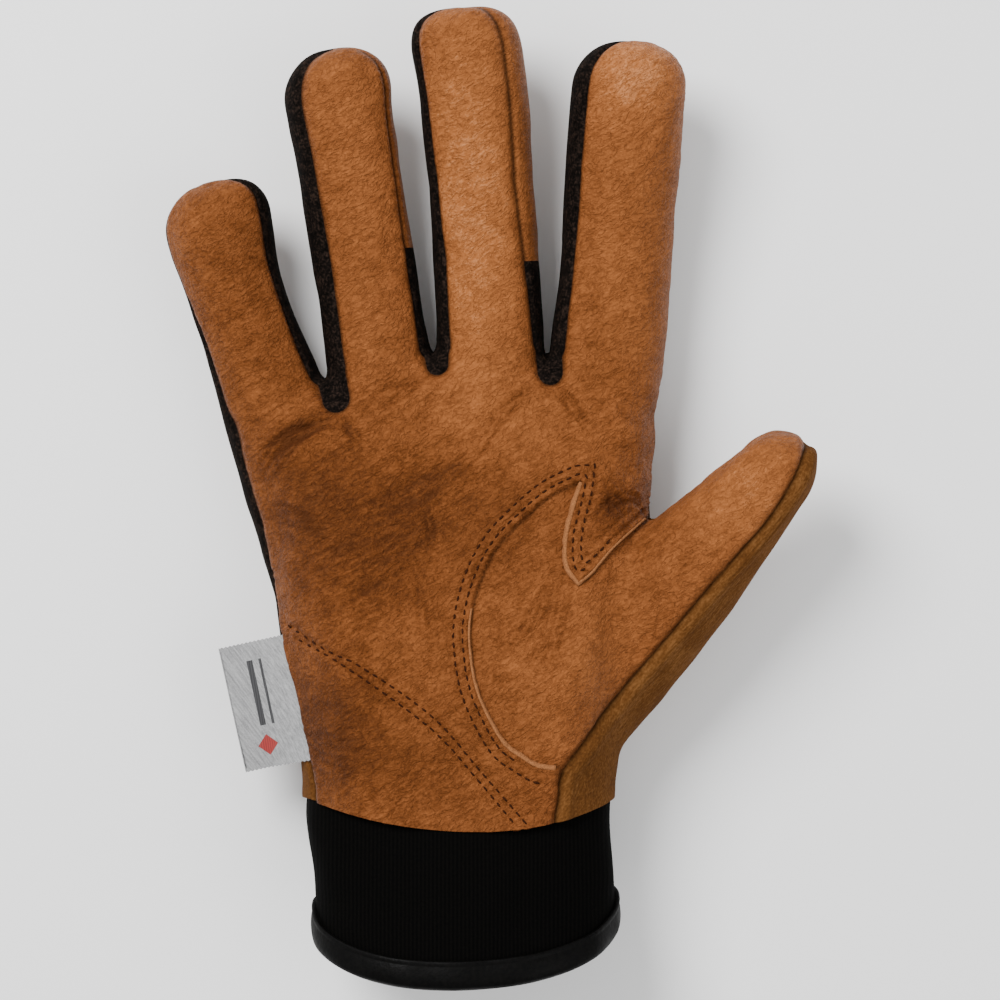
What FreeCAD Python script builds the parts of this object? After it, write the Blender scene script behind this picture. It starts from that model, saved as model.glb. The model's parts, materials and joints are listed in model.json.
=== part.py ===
"""A right-hand insulated work glove, lying on its back with the palm up.

Millimetres. +Z is up, out of the palm; +Y runs from the cuff to the fingertips; +X is the thumb side. The origin is
the centre of the glove's footprint, on the surface that it lies on.

The shell is a leather palm side, a knit back and black stretch strips between the fingers, over an insulated
lining. Each finger has two flex lines, the thumb and the wrist one each. At a flex line the two parts of the shell
stop at a V-shaped notch on the palm side, and a crease piece, the fabric that folds there, fills the notch at rest.
"""

import FreeCAD, Part
import math
import os

Vector = FreeCAD.Vector

# Driving dimensions
SHELL = 1.2  # leather and stretch fabric
WALL = 4.0  # shell, insulation and lining together
CUFF_KNIT = 2.4
CUFF_WALL = 4.2  # cuff knit and its fleece
GAP = 0.6  # between the parts on the two sides of a flex line
CREASE_GAP = 0.3
REST_CURL = 10.0  # degrees that the finger ends lift at rest
BASE_LIFT = 1.5  # degrees that the finger roots lift
NOTCH = 38.5  # degrees, half of the V at a finger's flex line
KNUCKLE_Z = 16.6
OVERCUT = 2.5  # how far the cuts at neighbouring fingers run into each other
SLIVER = 3.0  # mm3; smaller scraps that the cuts leave are dropped
REACH = 60.0  # large enough to cut past any section of the glove
PRESSED = 0.05  # how far the back is pressed flat by the surface that it lies on
TO_CENTRE = (-1.7, 0.8, -PRESSED)  # from the middle of the palm, where the sizes are drawn, to the footprint's centre

# A finger: where it leaves the hand, its splay from +Y, the lean of its palm side, its two lengths, its radii,
# and the angles from its palm side at which the front, side and back strips meet on its left and on its right.
FINGERS = {
    "little": dict(
        base=(-55.0, 24.0), splay=-16.0, lean=-10.0, root=24.0, end=40.5,
        r_base=13.2, r_tip=13.8, left=(-80.0, -125.0), right=(48.0, 128.0), side_leather=False,
    ),
    "ring": dict(
        base=(-27.8, 30.5), splay=-8.0, lean=-4.0, root=33.0, end=57.0,
        r_base=13.4, r_tip=14.2, left=(-40.0, -128.0), right=(58.0, 128.0), side_leather=True,
    ),
    "middle": dict(
        base=(1.4, 34.0), splay=-4.0, lean=0.0, root=35.0, end=61.2,
        r_base=13.8, r_tip=14.3, left=(-56.0, -128.0), right=(48.0, 128.0), side_leather=True,
    ),
    "index": dict(
        base=(30.8, 33.0), splay=4.3, lean=6.0, root=32.5, end=56.0,
        r_base=14.0, r_tip=14.9, left=(-44.0, -128.0), right=(104.0, 132.0), side_leather=False,
    ),
}
THUMB = dict(
    base=(52.6, -18.2), base_z=27.0, splay=42.5, lift=10.0, lean=-62.0, end=45.6,
    r_root=19.1, r_base=16.6, r_tip=11.6, seam_left=-88.0, seam_right=72.0, notch=23.0,
)
THUMB_ROOT = 44.0  # how far the thumb's root reaches back into the palm

# The hand, as (y, left edge, right edge, half depth); its back lies on the ground
HAND_SECTIONS = [
    (46.0, -76.0, 46.0, 16.0),
    (20.0, -68.5, 45.0, 17.0),
    (-8.0, -62.5, 43.5, 19.5),
    (-38.0, -55.5, 41.5, 21.8),
    (-62.0, -51.2, 37.0, 23.6),
    (-94.0, -48.6, 32.6, 25.4),
]
CUFF_SECTIONS = [
    (-66.0, -49.2, 32.6, 25.2),
    (-100.0, -47.4, 33.4, 25.6),
    (-132.0, -49.0, 35.2, 26.6),
]
CUFF_Z = 1.2 + PRESSED  # the cuff's knit stands this far off the ground, on its binding

WRIST_Y = -80.0
WRIST_Z = 25.5
WRIST_SLANT = 10.0  # degrees that the wrist seam runs lower on the palm side
WRIST_NOTCH = 27.0
RIM_Y = -117.2  # where the cuff's rim crosses the middle of its depth
RIM_SLANT = 24.0
BINDING = 1.2
BINDING_HEIGHT = 7.0

SEAM_Z = 19.2  # height of the seam between palm and back at y = 0, and how it rises towards the wrist
SEAM_RISE = 4.2  # degrees

# The thumb panel's outline on the palm: the arc round the ball of the thumb, its wing and the palm's tongue
THUMB_ARC = [(19.0, -72.0), (-8.0, -36.0), (28.0, 10.0)]
TONGUE_TIP = (23.5, -22.0)
THUMB_CROTCH = (44.0, -3.0)
HEEL_ARC = [(-53.0, -37.0), (-13.0, -55.0), (9.0, -84.0)]
THREAD = 0.5
THREAD_ROWS = (1.8, 4.3)  # distances of the two stitch rows from the palm's cut edge
THREAD_STOP = -57.0  # the thumb seam's rows end here, short of the heel's
PATCH = 0.8  # the reinforcement under the palm

LABEL_SEAM = (-54.3, -53.0, 23.0)  # middle of the label's hinge line
LABEL_TURN = 8.5  # degrees that the label's seam leans from -Y
LABEL_LENGTH = 33.5
LABEL_WIDTH = 17.0
LABEL_THICK = 1.0
WEB_THICK = 1.5
WEB_WIDTH = 6.0


def turned(vector, axis, degrees):
    return FreeCAD.Rotation(axis, degrees).multVec(vector)


def frame(origin, along, palmar):
    """A placement with local Y along a finger, Z out of its palm side and X across it."""
    along = Vector(along).normalize()
    across = along.cross(palmar).normalize()
    out = across.cross(along)
    matrix = FreeCAD.Matrix(
        across.x, along.x, out.x, origin.x,
        across.y, along.y, out.y, origin.y,
        across.z, along.z, out.z, origin.z,
    )
    return FreeCAD.Placement(matrix)


def direction(splay, lift):
    level = Vector(math.sin(math.radians(splay)), math.cos(math.radians(splay)), 0)
    return level * math.cos(math.radians(lift)) + Vector(0, 0, math.sin(math.radians(lift)))


def palmar_side(along, lean):
    """The direction in which a finger's palm side faces: up, leaned about the finger's own length."""
    across = along.cross(Vector(0, 0, 1)).normalize()
    return turned(across.cross(along), along, lean)


def finger_frames(finger):
    """The placements of a finger's two flex lines."""
    base = Vector(finger["base"][0], finger["base"][1], KNUCKLE_Z)
    along = direction(finger["splay"], BASE_LIFT)
    root = frame(base, along, palmar_side(along, finger["lean"]))
    across = root.Rotation.multVec(Vector(1, 0, 0))
    bend = base + along * finger["root"]
    lifted = turned(along, across, REST_CURL)
    return root, frame(bend, lifted, across.cross(lifted))


def thumb_frame():
    base = Vector(THUMB["base"][0], THUMB["base"][1], THUMB["base_z"])
    along = direction(THUMB["splay"], THUMB["lift"])
    return frame(base, along, palmar_side(along, THUMB["lean"]))


def placed(shape, placement):
    moved = shape.copy()
    moved.Placement = placement.multiply(moved.Placement)
    return moved


def prism(points, axis_index, low, high):
    """A polygon's prism. Its points lie in the plane across the axis, in the order of the other two axes."""
    corners = []
    for u, v in points:
        xyz = [u, v]
        xyz.insert(axis_index, low)
        corners.append(Vector(*xyz))
    face = Part.Face(Part.makePolygon(corners + corners[:1]))
    step = [0, 0, 0]
    step[axis_index] = high - low
    return face.extrude(Vector(*step))


def block(x0, x1, y0, y1, z0=-REACH, z1=REACH * 2):
    return prism([(x0, y0), (x1, y0), (x1, y1), (x0, y1)], 2, z0, z1)


# Fingers -------------------------------------------------------------------------------------------------------


def sector(profile, start, stop):
    """A wall's profile, drawn in local YZ, turned about the finger's length between two angles."""
    turned_profile = profile.copy()
    turned_profile.rotate(Vector(0, 0, 0), Vector(0, 1, 0), start)
    return turned_profile.revolve(Vector(0, 0, 0), Vector(0, 1, 0), stop - start)


def root_profile(finger, outer, inner):
    """The wall of a finger's root, from its knuckle to its bend, between two depths under the surface."""
    length = finger["root"]
    r0 = finger["r_base"]
    r1 = (finger["r_base"] + finger["r_tip"]) / 2
    corners = [(0, r0 - outer), (length, r1 - outer), (length, r1 - inner), (0, r0 - inner)]
    points = [Vector(0, y, z) for y, z in corners]
    return Part.Face(Part.makePolygon(points + points[:1]))


def end_profile(finger, r0, outer, inner):
    """The wall of a finger's end, closed by a round tip."""
    r1 = finger["r_tip"]
    centre = finger["end"] - r1
    a = Vector(0, 0, r0 - outer)
    b = Vector(0, centre, r1 - outer)
    tip = Vector(0, centre + r1 - outer, 0)
    inner_tip = Vector(0, centre + r1 - inner, 0)
    c = Vector(0, centre, r1 - inner)
    d = Vector(0, 0, r0 - inner)
    half = math.sqrt(0.5)
    mid = Vector(0, centre + (r1 - outer) * half, (r1 - outer) * half)
    inner_mid = Vector(0, centre + (r1 - inner) * half, (r1 - inner) * half)
    edges = [
        Part.makeLine(a, b),
        Part.Arc(b, mid, tip).toShape(),
        Part.makeLine(tip, inner_tip),
        Part.Arc(inner_tip, inner_mid, c).toShape(),
        Part.makeLine(c, d),
        Part.makeLine(d, a),
    ]
    return Part.Face(Part.Wire(edges))


def start_cutter(notch, gap=GAP):
    """What a part loses at the flex line where it starts: all behind the line, and a bevel on the palm side."""
    slope = math.tan(math.radians(notch)) * REACH
    half = gap / 2
    points = [(-REACH, -REACH), (half, -REACH), (half, 0), (half + slope, REACH), (-REACH, REACH)]
    return prism(points, 0, -REACH, REACH)


def end_cutter(notch, at=0.0, gap=GAP, wide=REACH):
    """What a part loses at the flex line where it ends."""
    slope = math.tan(math.radians(notch)) * REACH
    stop = at - gap / 2
    points = [(stop, -REACH), (at + REACH, -REACH), (at + REACH, REACH), (stop - slope, REACH), (stop, 0)]
    return prism(points, 0, -wide, wide)


def crease_wedge(notch, from_angle, at=0.0):
    """The half of a notch on one side of its flex line, from the middle plane's angle out to the bevel."""
    inner = math.tan(math.radians(abs(from_angle))) * REACH
    outer = math.tan(math.radians(notch)) * REACH
    sign = 1 if from_angle >= 0 else -1
    margin = sign * CREASE_GAP
    points = [
        (at + sign * (inner + CREASE_GAP / 3), REACH),
        (at + sign * CREASE_GAP / 3 + margin, 2.0),
        (at + sign * outer - margin, REACH),
    ]
    return prism(points, 0, -REACH, REACH)


def finger_parts(name, finger):
    """All the pieces of one finger, as {node: shape}."""
    root, bend = finger_frames(finger)
    r_bend = (finger["r_base"] + finger["r_tip"]) / 2
    front_left, back_left = finger["left"]
    front_right, back_right = finger["right"]
    arcs = {
        "front": [(front_left, front_right)],
        "back": [(back_right, back_left + 360)],
        "sides": [(back_left, front_left), (front_right, back_right)],
    }
    made = {}
    root_cut = [start_cutter(NOTCH), end_cutter(NOTCH, finger["root"])]
    shell = root_profile(finger, 0, SHELL)
    for strip, spans in arcs.items():
        solids = [sector(shell, *span).cut(root_cut) for span in spans]
        made[f"{name}_root_{strip}"] = placed(Part.Compound(solids), root)
    lining = sector(root_profile(finger, SHELL, WALL), 0, 360).cut(root_cut)
    made[f"{name}_root_lining"] = placed(lining, root)

    end_cut = start_cutter(NOTCH)
    shell = end_profile(finger, r_bend, 0, SHELL)
    strips = dict(arcs)
    if finger["side_leather"]:
        strips["sides"] = arcs["sides"][:1]
        strips["side_leather"] = arcs["sides"][1:]
    for strip, spans in strips.items():
        solids = [sector(shell, *span).cut(end_cut) for span in spans]
        made[f"{name}_end_{strip}"] = placed(Part.Compound(solids), bend)
    lining = sector(end_profile(finger, r_bend, SHELL, WALL), 0, 360).cut(end_cut)
    made[f"{name}_end_lining"] = placed(lining, bend)

    whole_root = sector(root_profile(finger, 0, WALL), 0, 360)
    whole_end = sector(end_profile(finger, r_bend, 0, WALL), 0, 360)
    before = whole_root.common(crease_wedge(NOTCH, -REST_CURL / 2, finger["root"]))
    after = whole_end.common(crease_wedge(NOTCH, REST_CURL / 2))
    made[f"{name}_bend_crease"] = Part.Compound([placed(before, root), placed(after, bend)])
    made[f"{name}_knuckle_crease"] = placed(whole_root.common(crease_wedge(NOTCH, 0.0)), root)
    return made


def thumb_parts():
    at = thumb_frame()
    notch = THUMB["notch"]
    arcs = {
        "thumb_front": (THUMB["seam_left"], THUMB["seam_right"]),
        "thumb_back": (THUMB["seam_right"], THUMB["seam_left"] + 360),
    }
    shell = end_profile(THUMB, THUMB["r_base"], 0, SHELL)
    cutter = start_cutter(notch)
    made = {node: placed(sector(shell, *span).cut(cutter), at) for node, span in arcs.items()}
    lining = sector(end_profile(THUMB, THUMB["r_base"], SHELL, WALL), 0, 360).cut(cutter)
    made["thumb_lining"] = placed(lining, at)
    whole = sector(end_profile(THUMB, THUMB["r_base"], 0, WALL), 0, 360)
    made["thumb_crease"] = placed(whole.common(crease_wedge(notch, 0.0)), at)
    return made


# Hand ----------------------------------------------------------------------------------------------------------


def stadium(y, left, right, half_depth, depth, lift=0.0):
    """A section of the hand: flat palm and back, round sides, shrunk by a depth under the surface."""
    radius = half_depth - depth
    z = half_depth + lift
    a = left + half_depth
    b = right - half_depth
    top_a, top_b = Vector(a, y, z + radius), Vector(b, y, z + radius)
    low_a, low_b = Vector(a, y, z - radius), Vector(b, y, z - radius)
    edges = [
        Part.makeLine(top_a, top_b),
        Part.Arc(top_b, Vector(b + radius, y, z), low_b).toShape(),
        Part.makeLine(low_b, low_a),
        Part.Arc(low_a, Vector(a - radius, y, z), top_a).toShape(),
    ]
    return Part.Wire(edges)


def loft(sections, depth, lift=0.0):
    return Part.makeLoft([stadium(*s, depth, lift) for s in sections], True, True)


def hand_solid(depth):
    """The hand with the root of the thumb, whole, its surface shrunk by a depth."""
    at = thumb_frame()
    r0 = THUMB["r_root"] - depth
    r1 = THUMB["r_base"] - depth
    back = Vector(0, -THUMB_ROOT, 0)
    cone = Part.makeCone(r0, r1, THUMB_ROOT, back, Vector(0, 1, 0))
    ball = Part.makeSphere(r0, back)
    root = placed(cone.fuse(ball), at)
    return loft(HAND_SECTIONS, depth).fuse(root).removeSplitter()


def middles():
    """How far each finger's share of the hand reaches to its left and right: half way to its neighbours."""
    names = list(FINGERS)
    reach = {}
    for i, name in enumerate(names):
        here = Vector(*FINGERS[name]["base"])
        spans = []
        for j in (i - 1, i + 1):
            known = 0 <= j < len(names)
            spans.append((Vector(*FINGERS[names[j]]["base"]) - here).Length / 2 if known else REACH / 2)
        reach[name] = spans
    return reach


def forks():
    """The points half way between each two neighbouring knuckles."""
    bases = [Vector(*finger["base"]) for finger in FINGERS.values()]
    return [(one + two) / 2 for one, two in zip(bases, bases[1:])]


def finger_cutters(shift=0.0):
    """The space in front of the hand's four finger openings, their notches included."""
    cutters = []
    for name, (left, right) in middles().items():
        root, _ = finger_frames(FINGERS[name])
        slope = math.tan(math.radians(NOTCH)) * REACH
        stop = -GAP / 2 - shift
        points = [(stop, -REACH), (REACH, -REACH), (REACH, REACH), (stop - slope, REACH), (stop, 0)]
        cutters.append(placed(prism(points, 0, -left - OVERCUT, right + OVERCUT), root))
    for fork in forks():
        apex = fork.y - GAP / 2 - shift
        wedge = [(fork.x, apex), (fork.x + REACH / 4, apex + REACH), (fork.x - REACH / 4, apex + REACH)]
        cutters.append(prism(wedge, 2, -REACH, REACH * 2))
    return cutters


def thumb_cutter():
    """The space past the thumb's opening, kept to the thumb's side of the hand."""
    at = thumb_frame()
    cutter = placed(end_cutter(THUMB["notch"], wide=THUMB["r_base"] + 2.0), at)
    side = prism([(THUMB_CROTCH[0] - 8.0, -REACH), (REACH * 3, -REACH), (REACH * 3, REACH * 2),
                  (THUMB_CROTCH[0] - 8.0, REACH * 2)], 2, -REACH, REACH * 2)
    return cutter.common(side)


def slanted_box(y, z, slant, towards_cuff):
    """The half space on one side of a plane across the glove that runs lower on the palm side by a slant."""
    drop = math.tan(math.radians(slant)) * REACH * 2
    far = y - REACH * 4 if towards_cuff else y + REACH * 4
    points = [(y + drop, z - REACH * 2), (far, z - REACH * 2), (far, z + REACH * 2), (y - drop, z + REACH * 2)]
    return prism(points, 0, -REACH * 3, REACH * 3)


def seam_half(upper):
    """All above or all below the seam between palm and back."""
    rise = math.tan(math.radians(SEAM_RISE)) * REACH * 3
    far = REACH * 3 if upper else -REACH * 3
    points = [(-REACH * 3, SEAM_Z + rise), (REACH * 3, SEAM_Z - rise), (REACH * 3, far), (-REACH * 3, far)]
    return prism(points, 0, -REACH * 3, REACH * 3)


def arc_through(points):
    a, b, c = [Vector(x, y, 0) for x, y in points]
    return Part.Arc(a, b, c).toShape()


def thumb_outline():
    """The thumb panel's share of the palm, as an upright block."""
    start = Vector(*THUMB_ARC[0], 0)
    wing = Vector(*THUMB_ARC[2], 0)
    tongue = Vector(*TONGUE_TIP, 0)
    crotch = Vector(*THUMB_CROTCH, 0)
    outside = [Vector(REACH * 2, THUMB_CROTCH[1] + 50, 0), Vector(REACH * 2, THUMB_ARC[0][1], 0)]
    corners = [wing, tongue, crotch, *outside, start]
    edges = [arc_through(THUMB_ARC)] + [Part.makeLine(p, q) for p, q in zip(corners, corners[1:])]
    return Part.Face(Part.Wire(edges)).extrude(Vector(0, 0, REACH * 2))


def row_block(arc, offset):
    """A thin upright block along an arc on the palm, moved out from the arc's centre by an offset."""
    edge = arc_through(arc)
    centre = edge.Curve.Center
    radius = edge.Curve.Radius + offset
    angles = [math.atan2(y - centre.y, x - centre.x) for x, y in arc]

    def at(r, angle):
        return Vector(centre.x + r * math.cos(angle), centre.y + r * math.sin(angle), 0)

    rails = []
    for r in (radius - THREAD / 2, radius + THREAD / 2):
        rails.append([at(r, angle) for angle in angles])
    near, far = rails
    edges = [
        Part.Arc(*near).toShape(),
        Part.makeLine(near[2], far[2]),
        Part.Arc(far[2], far[1], far[0]).toShape(),
        Part.makeLine(far[0], near[0]),
    ]
    return Part.Face(Part.Wire(edges)).extrude(Vector(0, 0, REACH * 2))


def hand_parts():
    whole = {depth: hand_solid(depth) for depth in (-THREAD, 0, SHELL, SHELL + PATCH, WALL)}
    openings = finger_cutters() + [thumb_cutter()]
    wrist_cut = slanted_box(WRIST_Y + GAP / 2, WRIST_Z, WRIST_SLANT, True)
    upper, lower = seam_half(True), seam_half(False)
    panel = thumb_outline()

    def layer(outer, inner):
        return whole[outer].cut(whole[inner]).cut(openings + [wrist_cut])

    made = {}
    shell = layer(0, SHELL)
    front = shell.common(upper)
    made["palm_leather"] = front.cut(panel)
    made["thumb_panel"] = front.common(panel)
    made["back_panel"] = shell.common(lower).cut(block(-REACH * 2, REACH * 2, -REACH * 2, REACH, -REACH, PRESSED))
    patch_edge = Part.Face(Part.Wire([
        arc_through(HEEL_ARC),
        Part.makeLine(Vector(*HEEL_ARC[2], 0), Vector(REACH, HEEL_ARC[2][1], 0)),
        Part.makeLine(Vector(REACH, HEEL_ARC[2][1], 0), Vector(REACH, REACH, 0)),
        Part.makeLine(Vector(REACH, REACH, 0), Vector(HEEL_ARC[0][0], REACH, 0)),
        Part.makeLine(Vector(HEEL_ARC[0][0], REACH, 0), Vector(*HEEL_ARC[0], 0)),
    ])).extrude(Vector(0, 0, REACH * 2))
    flat_palm = prism([(-REACH, 28.0), (REACH, 28.0), (REACH, REACH), (-REACH, REACH)], 1, -REACH * 2, REACH)
    patch = layer(SHELL, SHELL + PATCH).common(patch_edge).common(flat_palm).cut(panel)
    made["palm_reinforcement"] = patch
    made["hand_lining"] = layer(SHELL, WALL).cut(patch)
    thread_layer = whole[-THREAD].cut(whole[0]).common(upper).cut(openings + [wrist_cut])
    held = block(-REACH, REACH, THREAD_STOP, REACH)
    made["thumb_seam_stitching"] = Part.Compound(
        [thread_layer.common(row_block(THUMB_ARC, row)).common(held) for row in THREAD_ROWS]
    )
    made["heel_stitching"] = Part.Compound(
        [thread_layer.common(row_block(HEEL_ARC, row)) for row in (0.0, THREAD_ROWS[1] - THREAD_ROWS[0])]
    )
    made["fork_strips"] = fork_strips(whole[WALL], openings)
    wall = whole[0].cut(whole[WALL])
    for name, wedge in knuckle_wedges().items():
        made[name] = wall.common(wedge)
    return made


def fork_strips(cavity, openings):
    """The stretch fabric at the fork between each two fingers, across the mouth of the hand."""
    behind = finger_cutters(WEB_THICK)
    front = behind[0].fuse(behind[1:])
    strips = []
    for fork in forks():
        upright = block(fork.x - WEB_WIDTH / 2, fork.x + WEB_WIDTH / 2, -10, REACH)
        strips.append(cavity.common(upright).common(front).cut(openings))
    return Part.Compound(strips)


def knuckle_wedges():
    """The notch on the hand's side of each knuckle, up to half way to the next finger."""
    wedges = {}
    for name, (left, right) in middles().items():
        root, _ = finger_frames(FINGERS[name])
        share = block(CREASE_GAP - left, right - CREASE_GAP, -REACH, REACH)
        wedges[f"{name}_knuckle_crease"] = placed(crease_wedge(NOTCH, -0.001).common(share), root)
    return wedges


# Cuff and label ------------------------------------------------------------------------------------------------


def wrist_frame():
    """Local Y runs down the cuff, Z up out of the palm."""
    return frame(Vector(0, WRIST_Y, WRIST_Z), Vector(0, -1, 0), Vector(0, 0, 1))


def cuff_parts():
    whole = {d: loft(CUFF_SECTIONS, d, CUFF_Z) for d in (-BINDING, 0, CUFF_KNIT, CUFF_WALL, CUFF_WALL + BINDING)}
    # the sleeve starts behind the wrist's two notches, which lean with the slanted seam
    palm = math.tan(math.radians(WRIST_NOTCH + WRIST_SLANT)) * REACH
    back = math.tan(math.radians(WRIST_NOTCH - WRIST_SLANT)) * REACH
    half = GAP / 2
    points = [(half + back, -REACH), (half, 0), (half + palm, REACH), (-REACH * 2, REACH), (-REACH * 2, -REACH)]
    start = placed(prism(points, 0, -REACH * 2, REACH * 2), wrist_frame())
    rim = slanted_box(RIM_Y, WRIST_Z, RIM_SLANT, True)
    inner_rim = slanted_box(RIM_Y + BINDING, WRIST_Z, RIM_SLANT, True)
    bound = slanted_box(RIM_Y + BINDING_HEIGHT, WRIST_Z, RIM_SLANT, True)

    made = {}
    made["cuff_sleeve"] = whole[0].cut(whole[CUFF_KNIT]).cut([start, inner_rim])
    made["cuff_lining"] = whole[CUFF_KNIT].cut(whole[CUFF_WALL]).cut([start, inner_rim])
    ring = whole[-BINDING].cut(whole[CUFF_WALL + BINDING]).common(bound).cut(rim)
    filled = whole[0].cut(whole[CUFF_WALL]).cut(inner_rim)
    made["cuff_binding"] = ring.cut(filled)

    # the fabric that folds at the wrist, between the slanted seam and the sleeve, on the palm and on the back
    band = whole[0].cut(whole[CUFF_WALL])
    lean = math.tan(math.radians(WRIST_SLANT))
    folds = []
    for side, slope in ((1, palm), (-1, back)):
        seam = side * lean
        points = [
            (seam * REACH + CREASE_GAP, side * REACH),
            (seam * 2.0 + CREASE_GAP, side * 2.0),
            (slope - CREASE_GAP, side * REACH),
        ]
        folds.append(band.common(placed(prism(points, 0, -REACH * 2, REACH * 2), wrist_frame())))
    made["cuff_crease"] = Part.Compound(folds)
    return made


def label_part():
    turn = math.radians(LABEL_TURN)
    down = Vector(math.sin(turn), -math.cos(turn), 0)
    outward = Vector(-math.cos(turn), -math.sin(turn), 0)
    middle = Vector(*LABEL_SEAM)
    corner = middle - down * (LABEL_LENGTH / 2) - Vector(0, 0, LABEL_THICK / 2)
    corners = [corner, corner + down * LABEL_LENGTH]
    corners += [corners[1] + outward * LABEL_WIDTH, corner + outward * LABEL_WIDTH]
    return Part.Face(Part.makePolygon(corners + corners[:1])).extrude(Vector(0, 0, LABEL_THICK))


def build():
    """Every piece by name. A knuckle's crease is half in the hand's surface and half in the finger's."""
    parts = hand_parts()
    for name, finger in FINGERS.items():
        pieces = finger_parts(name, finger)
        crease = f"{name}_knuckle_crease"
        pieces[crease] = Part.Compound([parts[crease], pieces[crease]])
        parts.update(pieces)
    parts.update(thumb_parts())
    parts.update(cuff_parts())
    parts["label"] = label_part()
    for shape in parts.values():
        shape.translate(Vector(*TO_CENTRE))
    return parts


def main():
    os.makedirs("parts", exist_ok=True)
    for name, shape in build().items():
        solids = [s for s in shape.Solids if s.Volume > SLIVER]
        kept = solids[0] if len(solids) == 1 else Part.Compound(solids)
        kept.exportStep(f"parts/{name}.step")
        box = kept.BoundBox
        print(f"{name:24s} {len(solids)} solids {kept.Volume:9.1f} mm3  "
              f"x {box.XMin:7.1f}{box.XMax:7.1f}  y {box.YMin:7.1f}{box.YMax:7.1f}  z {box.ZMin:6.1f}{box.ZMax:6.1f}")


if __name__ == "__main__":
    main()
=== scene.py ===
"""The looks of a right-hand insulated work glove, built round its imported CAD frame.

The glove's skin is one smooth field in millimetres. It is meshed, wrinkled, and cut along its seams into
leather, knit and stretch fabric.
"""

import json
import math

import bpy
import numpy as np
import openvdb
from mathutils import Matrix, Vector
from mathutils.bvhtree import BVHTree


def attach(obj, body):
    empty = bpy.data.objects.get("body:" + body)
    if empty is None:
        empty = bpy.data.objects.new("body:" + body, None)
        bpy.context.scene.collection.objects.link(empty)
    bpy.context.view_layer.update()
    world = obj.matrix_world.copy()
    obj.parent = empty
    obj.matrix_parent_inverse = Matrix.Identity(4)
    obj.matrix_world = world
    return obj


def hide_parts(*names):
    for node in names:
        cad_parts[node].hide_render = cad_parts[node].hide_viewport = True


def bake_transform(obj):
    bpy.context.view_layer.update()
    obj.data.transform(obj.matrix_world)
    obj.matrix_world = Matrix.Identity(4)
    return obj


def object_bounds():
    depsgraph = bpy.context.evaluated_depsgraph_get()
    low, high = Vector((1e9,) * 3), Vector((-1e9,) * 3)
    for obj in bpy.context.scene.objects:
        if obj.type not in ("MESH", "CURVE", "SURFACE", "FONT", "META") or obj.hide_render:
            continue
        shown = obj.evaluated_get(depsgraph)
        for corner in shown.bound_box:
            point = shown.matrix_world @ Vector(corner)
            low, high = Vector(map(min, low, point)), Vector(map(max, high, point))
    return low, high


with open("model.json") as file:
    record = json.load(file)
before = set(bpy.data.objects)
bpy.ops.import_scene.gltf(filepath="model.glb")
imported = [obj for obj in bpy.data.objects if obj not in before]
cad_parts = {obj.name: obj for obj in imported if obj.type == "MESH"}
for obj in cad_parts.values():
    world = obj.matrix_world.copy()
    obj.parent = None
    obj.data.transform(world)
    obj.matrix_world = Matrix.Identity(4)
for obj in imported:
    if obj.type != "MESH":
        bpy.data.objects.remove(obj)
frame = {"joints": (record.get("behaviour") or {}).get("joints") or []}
CAD_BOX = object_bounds()

MM = 0.001
VOXEL = 0.62  # mm, the skin's mesh
COARSE = 4  # fine voxels along a coarse one
LINING_VOXEL = 2.4
SNAP = 0.04  # mm; a cut this near to a point goes through it
LEATHER = 1.1  # thicknesses
KNIT = 0.9
LINING = 1.4
LINING_DEPTH = 3.2  # of the lining's outside under the skin
HASH = (73856093, 19349663, 83492791)  # primes that scatter the noise's corners
HASH_SIZE = 8192

# Fingers, in the frame of their knuckle: offsets and half widths along the finger, its end, the length and
# bluntness of its tip, and the angles from the palm side where its front, side and back strips meet.
FINGERS = {
    "little": dict(
        offset=[(-20, -0.2), (0, -0.5), (20, -1.6), (40, -2.0), (52, -0.7), (62, 1.5)],
        half=[(0, 14.6), (20, 12.9), (36, 12.5), (46, 14.2), (62, 14.7)],
        depth=[(0, 13.3), (62, 12.6)],
        end=62.6, cap=13.5, blunt=2.6, back=(-125, 128), side_leather=None,
        front=[(-8, -50, 66), (8, -50, 67), (26, -57, 68), (40, -70, 67), (64, -70, 64)],
    ),
    "ring": dict(
        offset=[(0, 0.8), (28, 0.4), (60, 0.2), (76, 0.3), (89, 1.4)],
        half=[(0, 14.1), (28, 13.5), (60, 13.6), (76, 14.4), (90, 14.4)],
        depth=[(0, 13.6), (89, 13.2)],
        end=89.6, cap=14.0, blunt=2.4, back=(-128, 128), side_leather=35.0,
        front=[(-8, -34, 58), (15, -34, 60), (40, -34, 66), (90, -36, 66)],
    ),
    "middle": dict(
        offset=[(0, 0.8), (32, 1.6), (64, 1.3), (80, 0.9), (96, -0.8)],
        half=[(0, 14.6), (32, 14.1), (48, 13.9), (64, 14.5), (96, 14.5)],
        depth=[(0, 13.8), (96, 13.3)],
        end=96.2, cap=12.5, blunt=3.0, back=(-128, 128), side_leather=28.5,
        front=[(-8, -47, 50), (14, -48, 48), (30, -50, 43), (44, -54, 38), (80, -60, 38)],
    ),
    "index": dict(
        offset=[(-20, 0.4), (-8, 1.2), (4, 1.6), (25, 2.3), (41, 2.2), (57, 1.6), (73, 1.3), (88, 1.4)],
        half=[(-20, 14.2), (-8, 15.0), (9, 15.5), (25, 14.9), (41, 14.8), (57, 15.2), (88, 15.2)],
        depth=[(0, 14.0), (88, 13.5)],
        end=88.8, cap=14.0, blunt=2.35, back=(-128, 132), side_leather=None,
        front=[(-8, -50, 104), (20, -54, 104), (60, -52, 104), (90, -50, 104)],
    ),
}
REST_CURL = 10.0  # degrees
SECTION_POWER = 2.2  # of a finger's superellipse
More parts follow.
